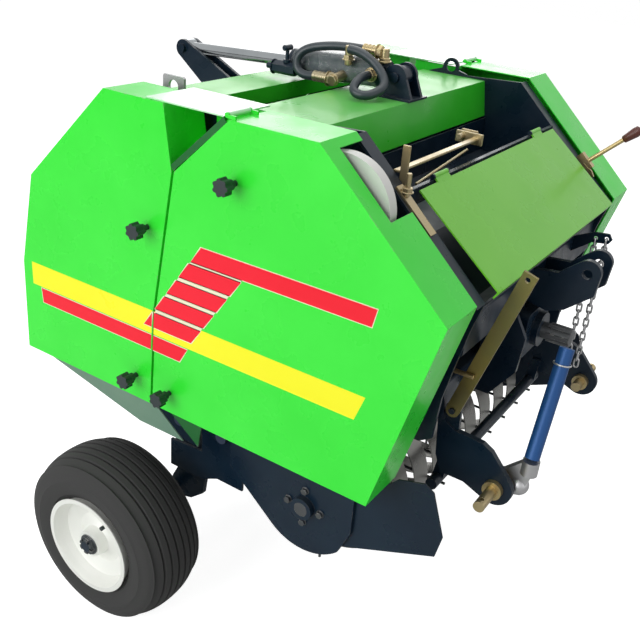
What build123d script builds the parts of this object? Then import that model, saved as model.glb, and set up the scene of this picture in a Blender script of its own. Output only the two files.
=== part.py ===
from build123d import *
import math
import os

os.makedirs("parts", exist_ok=True)

# All sizes are in millimetres.
# x runs forward from the foot of the line where tailgate and front part meet.
# y runs to the machine's left, z is counted up from the lower edge of the side covers.
# The floor lies SILL below that edge, and the stored frame has its zero MID further forward.
MID = 178.0
SILL = 550.0


def side(y):
    return Plane(origin=(-MID, y, SILL), x_dir=(1, 0, 0), z_dir=(0, -1, 0))


def front(x):
    return Plane(origin=(x - MID, 0, SILL), x_dir=(0, 1, 0), z_dir=(1, 0, 0))


def flat(z):
    return Plane(origin=(-MID, 0, SILL + z), x_dir=(1, 0, 0), z_dir=(0, 0, 1))


def at(x, y, z):
    return Location((x - MID, y, SILL + z))


def turned_y(x, y, z):
    return Location((x - MID, y, SILL + z), (90, 0, 0))


def turned_x(x, y, z):
    return Location((x - MID, y, SILL + z), (0, 90, 0))


def outline(points, mode=Mode.ADD):
    Polygon(*points, align=None, mode=mode)


# Half widths, counted from the middle of the machine
COVER_OUT = 490.0
COVER_IN = 383.0
REAR_COVER_IN = 390.0
PLATE_T = 6.0
PLATE_IN = 344.0
PLATE_OUT = PLATE_IN + PLATE_T
PLATE_FLANGE = 33.0
SHEET_END = PLATE_IN
PICKUP_T = 8.0
PICKUP_IN = 404.0
PICKUP_OUT = PICKUP_IN + PICKUP_T
WING_T = 3.0
WING_IN = 400.7
WING_OUT = WING_IN + WING_T
LID_END = 322.0

# Sheet thicknesses
COVER_T = 2.5
SHEET_T = 3.0

# Side cover corners, as (x, z)
P1 = (-105.0, 608.0)
P2 = (-315.0, 403.0)
P3 = (-359.0, 206.0)
P4 = (-364.0, 0.0)
N1 = (353.0, 608.0)
N2 = (604.0, 380.0)
N3 = (508.0, 0.0)
SPLIT_FOOT = (0.0, 0.0)
SPLIT_BEND = (11.0, 214.0)
SPLIT_HEAD = (56.0, 493.0)
REAR_TOP = (37.0, 608.0)
CUT_TOP = (180.0, 608.0)
SPLIT_GAP = 6.0

# Tailgate pivot and bale chamber
PIVOT = (80.0, 545.0)
PIVOT_R = 12.0
RUNNING = 0.06
CHAMBER = (5.0, 170.0)
ROLLER_RING = 300.0
ROLLER_R = 40.0
ROLLER_SHAFT_R = 14.0

# Hinges of the flaps and of the twine lid, axis as (x, z)
HINGE_R = 4.5
HINGE_PIN_R = 2.5
FLAP_HINGE = (170.0, 612.9)
LID_HINGE = (439.5, 527.0)
LID_HINGE_Y = 230.0
LID_HINGE_W = 50.0
LID_TOP = (449.0, 520.0)
LID_FOOT = (615.0, 386.0)

# Knobs that hold the side covers, as (x, z)
FRONT_KNOBS = ((196.0, 507.0), (52.0, 45.0))
TAIL_KNOBS = ((-2.0, 377.0), (-37.0, 52.0))
STUD_R = 5.0
KNOB_R = 15.0
KNOB_NECK = 22.0
KNOB_DEPTH = 18.0
KNOB_IN = COVER_OUT + KNOB_NECK

# Wheels
WHEEL = (-89.0, -350.0)
WHEEL_Y = 512.5
TYRE_R = 200.0
TYRE_W = 163.0
RIM_R = 113.0
AXLE_R = 12.5

# Pickup
REEL = (337.0, -137.0)
BAND_R = 150.0
TINE_R = 186.0
REEL_TUBE_R = 42.0
REEL_SHAFT_R = 15.0

# Three point hitch
LOWER_PIN = (657.0, -22.0)
LOWER_IN = 254.0
LOWER_OUT = 266.0
LOWER_PIN_R = 11.0
TOP_PIN = (681.0, 350.0)
TOP_IN = 30.0
TOP_OUT = 42.0
TOP_HOLE_R = 9.75

# Trip lever in front of the lid
LEVER_FOOT = (551.0, 106.0)
LEVER_HEAD = (640.0, 399.0)
LEVER_IN = 262.0
LEVER_OUT = 268.0

# Tailgate cylinder
ARM_PIN = (-339.0, 603.0)
BASE_PIN = (222.0, 631.0)
BARREL_R = 28.0
ROD_R = 12.5
CYL_PIN_R = 10.0

# Parking stand
STAND_PIN = (112.0, -226.0)
STAND_FOOT = (318.0, -542.0)
STAND_Y = 150.0


def ring_point(angle):
    a = math.radians(angle)
    return (CHAMBER[0] + ROLLER_RING * math.cos(a), CHAMBER[1] + ROLLER_RING * math.sin(a))


TAIL_ANGLES = (174.0, 203.0, 232.0, 261.0)
FRONT_ANGLES = (284.0, 64.0)

# Frame side plate, as (x, z)
FRAME_OUTLINE = (
    (20.0, -186.0),
    (-72.0, -192.0),
    (-72.0, -262.0),
    (20.0, -262.0),
    (66.0, -240.0),
    (136.0, -240.0),
    (136.0, -60.0),
    (190.0, 30.0),
    (260.0, 72.0),
    (455.0, 72.0),
    (528.0, 72.0),
    (552.0, 88.0),
    (558.0, 175.0),
    (571.0, 240.0),
    (589.0, 323.0),
    (603.0, 371.0),
    (349.0, 601.0),
    (110.0, 588.0),
    (60.0, 578.0),
    (42.0, 556.0),
    (42.0, 534.0),
    (66.0, 493.0),
    (20.0, 214.0),
    (9.0, 0.0),
    (20.0, -150.0),
)

# Tailgate side plate, as (x, z)
TAIL_OUTLINE = (
    (-3.0, 0.0),
    (8.0, 214.0),
    (50.0, 480.0),
    (16.0, 508.0),
    (10.0, 545.0),
    (-10.0, 581.0),
    (-113.0, 581.0),
    (-322.0, 377.0),
    (-344.0, 206.0),
    (-344.0, 110.0),
    (-316.0, 20.0),
    (-262.0, -66.0),
    (-180.0, -130.0),
    (-80.0, -172.0),
    (8.0, -181.0),
    (8.0, -150.0),
)

# Frame

with BuildPart() as frame_plate_right:
    with BuildSketch(side(-PLATE_IN)):
        outline(FRAME_OUTLINE)
        for angle in FRONT_ANGLES:
            with Locations(ring_point(angle)):
                Circle(ROLLER_SHAFT_R + RUNNING, mode=Mode.SUBTRACT)
    extrude(amount=PLATE_OUT - PLATE_IN)
    with BuildSketch(side(-PLATE_IN)):
        outline(((603.0, 371.0), (349.0, 601.0), (345.6, 597.3), (599.6, 367.3)))
    extrude(amount=PLATE_FLANGE)
    with Locations(turned_y(PIVOT[0], -(PLATE_OUT + 8.0), PIVOT[1])):
        Cylinder(PIVOT_R, 16.0)
frame_plate_right.part.label = "frame_plate_right"
export_step(frame_plate_right.part, "parts/frame_plate_right.step")

with BuildPart() as frame_plate_left:
    add(mirror(frame_plate_right.part, about=Plane.XZ))
frame_plate_left.part.label = "frame_plate_left"
export_step(frame_plate_left.part, "parts/frame_plate_left.step")

with BuildPart() as cross_beams:
    # lower beam, upper beam, axle beam and the tube that carries the stand
    with BuildSketch(side(-PLATE_IN)):
        with Locations((490.0, 110.0)):
            RectangleRounded(70.0, 76.0, 6.0)
            Rectangle(58.0, 64.0, mode=Mode.SUBTRACT)
        with Locations((550.0, 298.0)):
            RectangleRounded(60.0, 73.0, 6.0)
            Rectangle(48.0, 61.0, mode=Mode.SUBTRACT)
        with Locations((-36.0, -228.0)):
            RectangleRounded(70.0, 66.0, 6.0)
            Rectangle(58.0, 54.0, mode=Mode.SUBTRACT)
        with Locations((112.0, -186.0)):
            RectangleRounded(40.0, 40.0, 5.0)
            Rectangle(32.0, 32.0, mode=Mode.SUBTRACT)
    extrude(amount=-2.0 * PLATE_IN)
    # two ears under the stand tube
    for y in (STAND_Y - 30.0, STAND_Y + 38.0):
        with BuildSketch(side(y)):
            with BuildLine():
                Polyline((92.0, -207.0), (132.0, -207.0), (132.0, -226.0))
                ThreePointArc((132.0, -226.0), (112.0, -246.0), (92.0, -226.0))
                Line((92.0, -226.0), (92.0, -207.0))
            make_face()
            with Locations(STAND_PIN):
                Circle(8.0 + RUNNING, mode=Mode.SUBTRACT)
        extrude(amount=8.0)
cross_beams.part.label = "cross_beams"
export_step(cross_beams.part, "parts/cross_beams.step")

with BuildPart() as headstock:
    # two upright plates between the beams, carrying the gearbox
    for y in (-100.0, 110.0):
        with BuildSketch(side(y)):
            outline((
                (525.4, 73.0),
                (560.0, 73.0),
                (606.0, 140.0),
                (612.0, 215.0),
                (585.0, 261.0),
                (525.4, 261.0),
            ))
        extrude(amount=10.0)
    with Locations(at(530.0, 0, 190.0)):
        Box(9.2, 200.0, 90.0)
headstock.part.label = "headstock"
export_step(headstock.part, "parts/headstock.step")

with BuildPart() as gearbox:
    with BuildSketch(front(535.0)):
        with Locations((0, 195.0)):
            RectangleRounded(130.0, 96.0, 14.0)
    extrude(amount=62.0)
    with Locations(turned_x(604.0, 0, 195.0)):
        Cylinder(36.0, 14.0)
        Cylinder(17.0 + RUNNING, 14.0, mode=Mode.SUBTRACT)
    with Locations(turned_x(600.0, 0, 195.0)):
        Cylinder(17.0 + RUNNING, 26.0, mode=Mode.SUBTRACT)
gearbox.part.label = "gearbox"
export_step(gearbox.part, "parts/gearbox.step")

with BuildPart() as pto_shaft:
    with Locations(turned_x(630.0, 0, 195.0)):
        Cylinder(17.0, 80.0)
    with BuildSketch(front(624.0)):
        with Locations((0, 195.0)):
            with PolarLocations(17.4, 6):
                Rectangle(5.0, 8.0)
    extrude(amount=46.0)
pto_shaft.part.label = "pto_shaft"
export_step(pto_shaft.part, "parts/pto_shaft.step")

with BuildPart() as lower_hitch_plates:
    for y in (-LOWER_IN, LOWER_OUT):
        with BuildSketch(side(y)):
            with BuildLine():
                Polyline(
                    (525.4, 73.0),
                    (525.4, 147.0),
                    (532.0, 116.0),
                    (534.0, 97.0),
                    (542.0, 77.0),
                    (562.0, 66.0),
                    (620.0, 62.0),
                    (640.0, 51.0),
                    (684.0, 2.0),
                )
                ThreePointArc((684.0, 2.0), (683.0, -46.0), (640.0, -54.0))
                Polyline((640.0, -54.0), (596.0, -36.0), (547.0, -36.0), (532.0, 0.0), (525.4, 73.0))
            make_face()
            with Locations(LOWER_PIN):
                Circle(LOWER_PIN_R + 0.3, mode=Mode.SUBTRACT)
        extrude(amount=LOWER_OUT - LOWER_IN)
    # ear and pivot bolt of the trip lever, on the right plate
    with BuildSketch(side(-LOWER_IN)):
        outline(((534.0, 60.0), (568.0, 60.0), (566.0, 112.0), (560.0, 122.0), (542.0, 122.0), (536.0, 112.0)))
    extrude(amount=LEVER_IN - LOWER_IN - 0.3)
    with Locations(turned_y(LEVER_FOOT[0], -(LOWER_IN + LEVER_OUT + 4.0) / 2.0, LEVER_FOOT[1])):
        Cylinder(6.0, LEVER_OUT + 4.0 - LOWER_IN)
lower_hitch_plates.part.label = "lower_hitch_plates"
export_step(lower_hitch_plates.part, "parts/lower_hitch_plates.step")

with BuildPart() as lower_pins:
    with Locations(turned_y(LOWER_PIN[0], -275.0, LOWER_PIN[1])):
        Cylinder(LOWER_PIN_R, 122.0)
    with Locations(turned_y(LOWER_PIN[0], -272.0, LOWER_PIN[1])):
        Cylinder(19.0, 11.4)
    with Locations(turned_y(LOWER_PIN[0], -247.0, LOWER_PIN[1])):
        Cylinder(18.0, 13.4)
    with Locations(at(LOWER_PIN[0], -324.0, LOWER_PIN[1])):
        Cylinder(4.0, 40.0, mode=Mode.SUBTRACT)
    mirror(about=Plane.XZ)
lower_pins.part.label = "lower_pins"
export_step(lower_pins.part, "parts/lower_pins.step")

with BuildPart() as top_hitch_plates:
    for y in (-TOP_IN, TOP_OUT):
        with BuildSketch(side(y)):
            with BuildLine():
                Polyline(
                    (580.0, 264.0),
                    (580.0, 333.0),
                    (627.0, 338.0),
                    (666.0, 372.0),
                )
                ThreePointArc((666.0, 372.0), (690.0, 376.0), (706.0, 352.0))
                Polyline((706.0, 352.0), (702.0, 311.0), (653.0, 268.0), (620.0, 255.0), (580.0, 264.0))
            make_face()
            with Locations(TOP_PIN):
                Circle(TOP_HOLE_R, mode=Mode.SUBTRACT)
        extrude(amount=TOP_OUT - TOP_IN)
    with Locations(at(608.0, 0, 300.0)):
        Box(40.0, 2.0 * TOP_IN, 10.0)
top_hitch_plates.part.label = "top_hitch_plates"
export_step(top_hitch_plates.part, "parts/top_hitch_plates.step")

# Pickup

with BuildPart() as pickup_plates:
    with BuildSketch(side(-PICKUP_IN)):
        with BuildLine():
            Polyline((149.0, 60.0), (149.0, -127.0), (262.0, -219.0))
            ThreePointArc((262.0, -219.0), (341.0, -245.0), (421.0, -208.0))
            Polyline((421.0, -208.0), (445.0, -150.0), (445.0, 60.0), (149.0, 60.0))
        make_face()
        with Locations(REEL):
            Circle(REEL_SHAFT_R + RUNNING, mode=Mode.SUBTRACT)
    extrude(amount=PICKUP_OUT - PICKUP_IN)
    # bearing housing
    with BuildSketch(side(-PICKUP_OUT)):
        with Locations(REEL):
            Circle(24.0)
            Circle(REEL_SHAFT_R + RUNNING, mode=Mode.SUBTRACT)
    extrude(amount=14.0)
    # distance tubes to the frame plate
    for x, z in ((210.0, 54.0), (420.0, 84.0)):
        with Locations(turned_y(x, -(PLATE_OUT + PICKUP_OUT) / 2.0 - 0.2, z)):
            Cylinder(14.0, PICKUP_OUT - PLATE_OUT)
    with BuildSketch(side(-PICKUP_IN)):
        outline(((380.0, 60.0), (445.0, 60.0), (436.0, 100.0), (404.0, 100.0)))
    extrude(amount=PICKUP_OUT - PICKUP_IN)
    mirror(about=Plane.XZ)
pickup_plates.part.label = "pickup_plates"
export_step(pickup_plates.part, "parts/pickup_plates.step")

with BuildPart() as pickup_wings:
    with BuildSketch(side(-WING_IN)):
        outline((
            (405.0, -4.0),
            (507.0, -4.0),
            (524.0, 14.0),
            (576.0, 30.0),
            (595.0, 19.0),
            (625.0, -66.0),
            (616.0, -114.0),
            (432.0, -194.0),
            (405.0, -200.0),
        ))
    extrude(amount=WING_OUT - WING_IN)
    mirror(about=Plane.XZ)
pickup_wings.part.label = "pickup_wings"
export_step(pickup_wings.part, "parts/pickup_wings.step")

BAND_PITCH = 82.5
BAND_W = 56.0
with BuildPart() as stripper_bands:
    for i in range(-4, 4):
        y = (i + 0.5) * BAND_PITCH
        with BuildSketch(side(y + BAND_W / 2.0)):
            with BuildLine():
                Polyline((206.0, 26.0), (232.0, 26.0), (REEL[0], REEL[1] + BAND_R))
                ThreePointArc(
                    (REEL[0], REEL[1] + BAND_R),
                    (REEL[0] + BAND_R, REEL[1]),
                    (REEL[0], REEL[1] - BAND_R),
                )
                Polyline(
                    (REEL[0], REEL[1] - BAND_R),
                    (270.0, REEL[1] - BAND_R),
                    (270.0, REEL[1] - BAND_R - 2.5),
                    (REEL[0], REEL[1] - BAND_R - 2.5),
                )
                ThreePointArc(
                    (REEL[0], REEL[1] - BAND_R - 2.5),
                    (REEL[0] + BAND_R + 2.5, REEL[1]),
                    (REEL[0], REEL[1] + BAND_R + 2.5),
                )
                Polyline(
                    (REEL[0], REEL[1] + BAND_R + 2.5),
                    (232.0, 28.5),
                    (206.0, 28.5),
                    (206.0, 26.0),
                )
            make_face()
        extrude(amount=BAND_W)
    with BuildSketch(side(403.9)):
        with Locations((220.0, 33.4)):
            Rectangle(28.0, 10.0)
    extrude(amount=807.8)
stripper_bands.part.label = "stripper_bands"
export_step(stripper_bands.part, "parts/stripper_bands.step")

with BuildPart() as pickup_reel:
    with Locations(turned_y(REEL[0], 0, REEL[1])):
        Cylinder(REEL_TUBE_R, 760.0)
        Cylinder(REEL_SHAFT_R, 852.0)
    for i in range(-4, 5):
        for quarter in range(4):
            a = math.radians(90.0 * quarter)
            mid = (REEL_TUBE_R + TINE_R) / 2.0
            x = REEL[0] + mid * math.cos(a)
            z = REEL[1] + mid * math.sin(a)
            with Locations(Location((x - MID, i * BAND_PITCH, SILL + z), (0, 90.0 - 90.0 * quarter, 0))):
                Cylinder(3.0, TINE_R - REEL_TUBE_R + 4.0)
pickup_reel.part.label = "pickup_reel"
export_step(pickup_reel.part, "parts/pickup_reel.step")

with BuildPart() as wind_guard:
    with Locations(turned_y(539.0, 0, -62.0)):
        Cylinder(12.0, 560.0)
    for y in (-245.9, 253.9):
        with BuildSketch(side(y)):
            outline(((527.0, -62.0), (551.0, -62.0), (556.0, -4.0), (536.0, -4.0)))
        extrude(amount=8.0)
wind_guard.part.label = "wind_guard"
export_step(wind_guard.part, "parts/wind_guard.step")

# Rollers of the bale chamber

for number, angle in enumerate(FRONT_ANGLES, start=1):
    px, pz = ring_point(angle)
    with BuildPart() as front_roller:
        with Locations(turned_y(px, 0, pz)):
            Cylinder(ROLLER_R, 676.0)
            Cylinder(ROLLER_SHAFT_R, 716.0)
    front_roller.part.label = "front_roller_" + str(number)
    export_step(front_roller.part, "parts/front_roller_" + str(number) + ".step")

for number, angle in enumerate(TAIL_ANGLES, start=1):
    px, pz = ring_point(angle)
    with BuildPart() as tail_roller:
        with Locations(turned_y(px, 0, pz)):
            Cylinder(ROLLER_R, 676.0)
            Cylinder(ROLLER_SHAFT_R, 716.0)
    tail_roller.part.label = "tail_roller_" + str(number)
    export_step(tail_roller.part, "parts/tail_roller_" + str(number) + ".step")

# Front covers and top

with BuildPart() as front_cover_right:
    with BuildSketch(side(-COVER_IN)):
        outline((
            (SPLIT_FOOT[0] + SPLIT_GAP, SPLIT_FOOT[1]),
            (SPLIT_BEND[0] + SPLIT_GAP, SPLIT_BEND[1]),
            (SPLIT_HEAD[0] + SPLIT_GAP, SPLIT_HEAD[1] + 2.0),
            CUT_TOP,
            N1,
            N2,
            N3,
        ))
    extrude(amount=COVER_OUT - COVER_IN)
    inner = front_cover_right.faces().sort_by(Axis.Y)[-1]
    bottom = front_cover_right.faces().sort_by(Axis.Z)[0]
    offset(amount=-COVER_T, openings=[inner, bottom], kind=Kind.INTERSECTION)
    # notch in the slanted face for the twine pulley
    with BuildSketch(side(-COVER_IN + 1.0)):
        outline(((345.8, 574.0), (385.8, 618.0), (489.4, 524.0), (449.4, 480.0)))
    extrude(amount=70.0, mode=Mode.SUBTRACT)
    for x, z in FRONT_KNOBS:
        with Locations(turned_y(x, -COVER_OUT, z)):
            Cylinder(STUD_R + 0.3, 12.0, mode=Mode.SUBTRACT)
    # ears and pin of the flap's hinge
    with Locations(turned_y(FLAP_HINGE[0], -454.0, FLAP_HINGE[1])):
        Cylinder(HINGE_PIN_R, 62.0)
    for y in (-483.2, -424.8):
        with Locations(turned_y(FLAP_HINGE[0], y, FLAP_HINGE[1])):
            Cylinder(HINGE_R, 3.4)
        with Locations(at(FLAP_HINGE[0] + 9.0, y, 611.0)):
            Box(18.0, 3.4, 6.0)
front_cover_right.part.label = "front_cover_right"
export_step(front_cover_right.part, "parts/front_cover_right.step")

with BuildPart() as front_cover_left:
    with BuildSketch(side(COVER_OUT)):
        outline((
            (SPLIT_FOOT[0] + SPLIT_GAP, SPLIT_FOOT[1]),
            (SPLIT_BEND[0] + SPLIT_GAP, SPLIT_BEND[1]),
            (SPLIT_HEAD[0] + SPLIT_GAP, SPLIT_HEAD[1] + 2.0),
            CUT_TOP,
            N1,
            N2,
            N3,
        ))
    extrude(amount=COVER_OUT - COVER_IN)
    inner = front_cover_left.faces().sort_by(Axis.Y)[0]
    bottom = front_cover_left.faces().sort_by(Axis.Z)[0]
    offset(amount=-COVER_T, openings=[inner, bottom], kind=Kind.INTERSECTION)
    for x, z in FRONT_KNOBS:
        with Locations(turned_y(x, COVER_OUT, z)):
            Cylinder(STUD_R + 0.3, 12.0, mode=Mode.SUBTRACT)
    # ears and pin of the flap's hinge
    with Locations(turned_y(FLAP_HINGE[0], 454.0, FLAP_HINGE[1])):
        Cylinder(HINGE_PIN_R, 62.0)
    for y in (483.2, 424.8):
        with Locations(turned_y(FLAP_HINGE[0], y, FLAP_HINGE[1])):
            Cylinder(HINGE_R, 3.4)
        with Locations(at(FLAP_HINGE[0] + 9.0, y, 611.0)):
            Box(18.0, 3.4, 6.0)
front_cover_left.part.label = "front_cover_left"
export_step(front_cover_left.part, "parts/front_cover_left.step")

with BuildPart() as top_sheet:
    # front top sheet with its folded rear wall of the twine compartment
    with BuildSketch(side(SHEET_END)):
        outline((
            (100.0, 590.0),
            (262.0, 590.0),
            (275.0, 512.0),
            (272.0, 511.5),
            (259.4, 587.0),
            (103.0, 587.0),
            (103.0, 560.0),
            (100.0, 560.0),
        ))
    extrude(amount=2.0 * SHEET_END)
top_sheet.part.label = "top_sheet"
export_step(top_sheet.part, "parts/top_sheet.step")

with BuildPart() as twine_box:
    with BuildSketch(side(SHEET_END)):
        outline((
            (276.0, 508.0),
            (279.0, 508.0),
            (279.0, 433.0),
            (430.0, 408.0),
            (560.0, 345.0),
            (590.0, 358.0),
            (592.0, 355.0),
            (560.0, 341.0),
            (429.0, 405.0),
            (276.0, 430.0),
        ))
    extrude(amount=2.0 * SHEET_END)
    # bar that carries the lid's hinges
    with Locations(at(437.7, 0, 506.2)):
        Box(8.0, 2.0 * SHEET_END, 30.0)
    for middle in (-LID_HINGE_Y, LID_HINGE_Y):
        with Locations(turned_y(LID_HINGE[0], middle, LID_HINGE[1])):
            Cylinder(HINGE_PIN_R, LID_HINGE_W + 8.0)
        for y in (middle - LID_HINGE_W / 2.0 - 2.0, middle + LID_HINGE_W / 2.0 + 2.0):
            with Locations(turned_y(LID_HINGE[0], y, LID_HINGE[1])):
                Cylinder(HINGE_R, 3.4)
            with Locations(at(LID_HINGE[0] - 1.0, y, 519.0)):
                Box(6.6, 3.4, 14.0)
twine_box.part.label = "twine_box"
export_step(twine_box.part, "parts/twine_box.step")

with BuildPart() as twine_lid:
    with BuildSketch(side(LID_END)):
        outline((
            LID_TOP,
            LID_FOOT,
            (607.0, 373.0),
            (604.5, 374.5),
            (611.0, 385.5),
            (447.3, 517.6),
        ))
    extrude(amount=2.0 * LID_END)
    for y in (-LID_HINGE_Y, LID_HINGE_Y):
        with BuildSketch(side(y + LID_HINGE_W / 2.0)):
            outline(((441.5, 528.0), (452.0, 517.6), (450.3, 515.2), (439.7, 524.0)))
            with Locations(LID_HINGE):
                Circle(HINGE_R)
                Circle(HINGE_PIN_R + RUNNING, mode=Mode.SUBTRACT)
        extrude(amount=LID_HINGE_W)
twine_lid.part.label = "twine_lid"
export_step(twine_lid.part, "parts/twine_lid.step")

TWINE_PULLEY = (373.0, 500.0)
with BuildPart() as twine_pulley:
    with Locations(turned_y(TWINE_PULLEY[0], -430.0, TWINE_PULLEY[1])):
        Cylinder(88.0, 22.0)
    with Locations(turned_y(TWINE_PULLEY[0], -385.0, TWINE_PULLEY[1])):
        Cylinder(22.0, 69.4)
twine_pulley.part.label = "twine_pulley"
export_step(twine_pulley.part, "parts/twine_pulley.step")

with BuildPart() as flap_right:
    with Locations(at(78.2, -423.0, 609.6)):
        Box(172.4, 124.0, 2.5)
    with Locations(at(165.0, -454.0, 609.6)):
        Box(8.0, 54.0, 2.5)
    with Locations(turned_y(FLAP_HINGE[0], -454.0, FLAP_HINGE[1])):
        Cylinder(HINGE_R, 54.0)
        Cylinder(HINGE_PIN_R + RUNNING, 54.0, mode=Mode.SUBTRACT)
flap_right.part.label = "flap_right"
export_step(flap_right.part, "parts/flap_right.step")

with BuildPart() as flap_left:
    add(mirror(flap_right.part, about=Plane.XZ))
flap_left.part.label = "flap_left"
export_step(flap_left.part, "parts/flap_left.step")

with BuildPart() as cylinder_bracket:
    for y in (-18.0, 26.0):
        with BuildSketch(side(y)):
            with BuildLine():
                Polyline((197.0, 594.2), (263.0, 594.2), (247.0, 631.0))
                ThreePointArc((247.0, 631.0), (222.0, 656.0), (197.0, 631.0))
                Line((197.0, 631.0), (197.0, 594.2))
            make_face()
            with Locations(BASE_PIN):
                Circle(CYL_PIN_R + RUNNING, mode=Mode.SUBTRACT)
        extrude(amount=8.0)
    with Locations(at(229.0, 0, 592.2)):
        Box(76.0, 76.0, 4.0)
cylinder_bracket.part.label = "cylinder_bracket"
export_step(cylinder_bracket.part, "parts/cylinder_bracket.step")

# Cylinder line runs from the base pin to the arm pin
CYL_LEN = math.hypot(BASE_PIN[0] - ARM_PIN[0], BASE_PIN[1] - ARM_PIN[1])
CYL_TILT = math.degrees(math.atan2(BASE_PIN[1] - ARM_PIN[1], BASE_PIN[0] - ARM_PIN[0]))
CYL_PLANE = Plane(
    origin=(BASE_PIN[0] - MID, 0, SILL + BASE_PIN[1]),
    x_dir=(0, 1, 0),
    z_dir=(-math.cos(math.radians(CYL_TILT)), 0, -math.sin(math.radians(CYL_TILT))),
)

with BuildPart() as cylinder_barrel:
    with BuildSketch(CYL_PLANE.offset(30.0)):
        Circle(BARREL_R)
    extrude(amount=230.0)
    with BuildSketch(CYL_PLANE.offset(48.0)):
        Circle(25.0)
    extrude(amount=212.0, mode=Mode.SUBTRACT)
    with BuildSketch(CYL_PLANE.offset(240.0)):
        Circle(25.0)
        Circle(ROD_R + RUNNING, mode=Mode.SUBTRACT)
    extrude(amount=20.0)
    with BuildSketch(side(16.0)):
        with Locations(BASE_PIN):
            Circle(20.0)
            with Locations((-20.0, -0.9)):
                Rectangle(32.0, 30.0)
    extrude(amount=32.0)
    with Locations(turned_y(BASE_PIN[0], 0, BASE_PIN[1])):
        Cylinder(CYL_PIN_R, 64.0)
cylinder_barrel.part.label = "cylinder_barrel"
export_step(cylinder_barrel.part, "parts/cylinder_barrel.step")

with BuildPart() as cylinder_rod:
    with BuildSketch(CYL_PLANE.offset(215.0)):
        Circle(ROD_R)
    extrude(amount=CYL_LEN - 215.0 - 14.0)
    with BuildSketch(CYL_PLANE.offset(195.0)):
        Circle(24.6)
    extrude(amount=20.0)
    with BuildSketch(side(13.0)):
        with Locations(ARM_PIN):
            Circle(19.0)
    extrude(amount=26.0)
cylinder_rod.part.label = "cylinder_rod"
export_step(cylinder_rod.part, "parts/cylinder_rod.step")

# Tailgate

with BuildPart() as tail_plates:
    with BuildSketch(side(-PLATE_IN)):
        outline(TAIL_OUTLINE)
        for angle in TAIL_ANGLES:
            with Locations(ring_point(angle)):
                Circle(ROLLER_SHAFT_R + RUNNING, mode=Mode.SUBTRACT)
    extrude(amount=PLATE_OUT - PLATE_IN)
    # lug that reaches forward outside the frame plate to the pivot pin
    with BuildSketch(side(-356.0)):
        with BuildLine():
            Polyline((80.0, 573.0), (-90.0, 575.0), (-90.0, 500.0), (20.0, 500.0), (80.0, 517.0))
            ThreePointArc((80.0, 517.0), (108.0, 545.0), (80.0, 573.0))
        make_face()
        with Locations(PIVOT):
            Circle(PIVOT_R + RUNNING, mode=Mode.SUBTRACT)
    extrude(amount=8.0)
    with Locations(at(-50.0, -353.0, 540.0)):
        Box(60.0, 6.4, 50.0)
    mirror(about=Plane.XZ)
tail_plates.part.label = "tail_plates"
export_step(tail_plates.part, "parts/tail_plates.step")

with BuildPart() as tail_shell:
    with BuildSketch(side(SHEET_END)):
        outline((
            (-10.0, 552.0),
            (-10.0, 585.0),
            (-115.0, 585.0),
            (-325.5, 379.0),
            (-348.0, 206.0),
            (-345.0, 205.6),
            (-322.8, 377.5),
            (-113.8, 582.0),
            (-13.0, 582.0),
            (-13.0, 552.0),
        ))
    extrude(amount=2.0 * SHEET_END)
tail_shell.part.label = "tail_shell"
export_step(tail_shell.part, "parts/tail_shell.step")

with BuildPart() as rear_cover_right:
    with BuildSketch(side(-REAR_COVER_IN)):
        outline((
            SPLIT_FOOT,
            SPLIT_BEND,
            SPLIT_HEAD,
            REAR_TOP,
            P1,
            P2,
            P3,
            P4,
        ))
    extrude(amount=COVER_OUT - REAR_COVER_IN)
    inner = rear_cover_right.faces().sort_by(Axis.Y)[-1]
    bottom = rear_cover_right.faces().sort_by(Axis.Z)[0]
    offset(amount=-COVER_T, openings=[inner, bottom], kind=Kind.INTERSECTION)
    for x, z in TAIL_KNOBS:
        with Locations(turned_y(x, -COVER_OUT, z)):
            Cylinder(STUD_R + 0.3, 12.0, mode=Mode.SUBTRACT)
rear_cover_right.part.label = "rear_cover_right"
export_step(rear_cover_right.part, "parts/rear_cover_right.step")

with BuildPart() as rear_cover_left:
    add(mirror(rear_cover_right.part, about=Plane.XZ))
rear_cover_left.part.label = "rear_cover_left"
export_step(rear_cover_left.part, "parts/rear_cover_left.step")

with BuildPart() as tail_arm:
    for y in (-14.0, 22.0):
        with BuildSketch(side(y)):
            with BuildLine():
                Polyline((-330.0, 620.0), (-208.0, 562.0), (-161.5, 540.3), (-216.5, 486.6), (-287.0, 539.0), (-352.0, 588.0))
                ThreePointArc((-352.0, 588.0), (-355.0, 614.0), (-330.0, 620.0))
            make_face()
        extrude(amount=8.0)
    # heads of the pin, whose middle turns with the rod's eye
    for y in (-26.0, 26.0):
        with Locations(turned_y(ARM_PIN[0], y, ARM_PIN[1])):
            Cylinder(CYL_PIN_R, 8.0)
    with BuildSketch(side(40.0)):
        outline(((-150.0, 551.4), (-230.0, 473.2), (-232.8, 476.0), (-152.8, 554.2)))
    extrude(amount=80.0)
tail_arm.part.label = "tail_arm"
export_step(tail_arm.part, "parts/tail_arm.step")


with BuildPart() as front_knobs:
    for x, z in FRONT_KNOBS:
        with Locations(turned_y(x, -(PLATE_OUT + KNOB_IN) / 2.0, z)):
            Cylinder(STUD_R, KNOB_IN - PLATE_OUT)
        with BuildSketch(side(-KNOB_IN)):
            with Locations((x, z)):
                Circle(KNOB_R - 2.0)
                with PolarLocations(KNOB_R - 3.0, 7):
                    Circle(4.0)
        extrude(amount=KNOB_DEPTH)
        with Locations(turned_y(x, -KNOB_IN + 5.0, z)):
            Cylinder(9.0, 12.0)
    mirror(about=Plane.XZ)
front_knobs.part.label = "front_knobs"
export_step(front_knobs.part, "parts/front_knobs.step")

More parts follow.
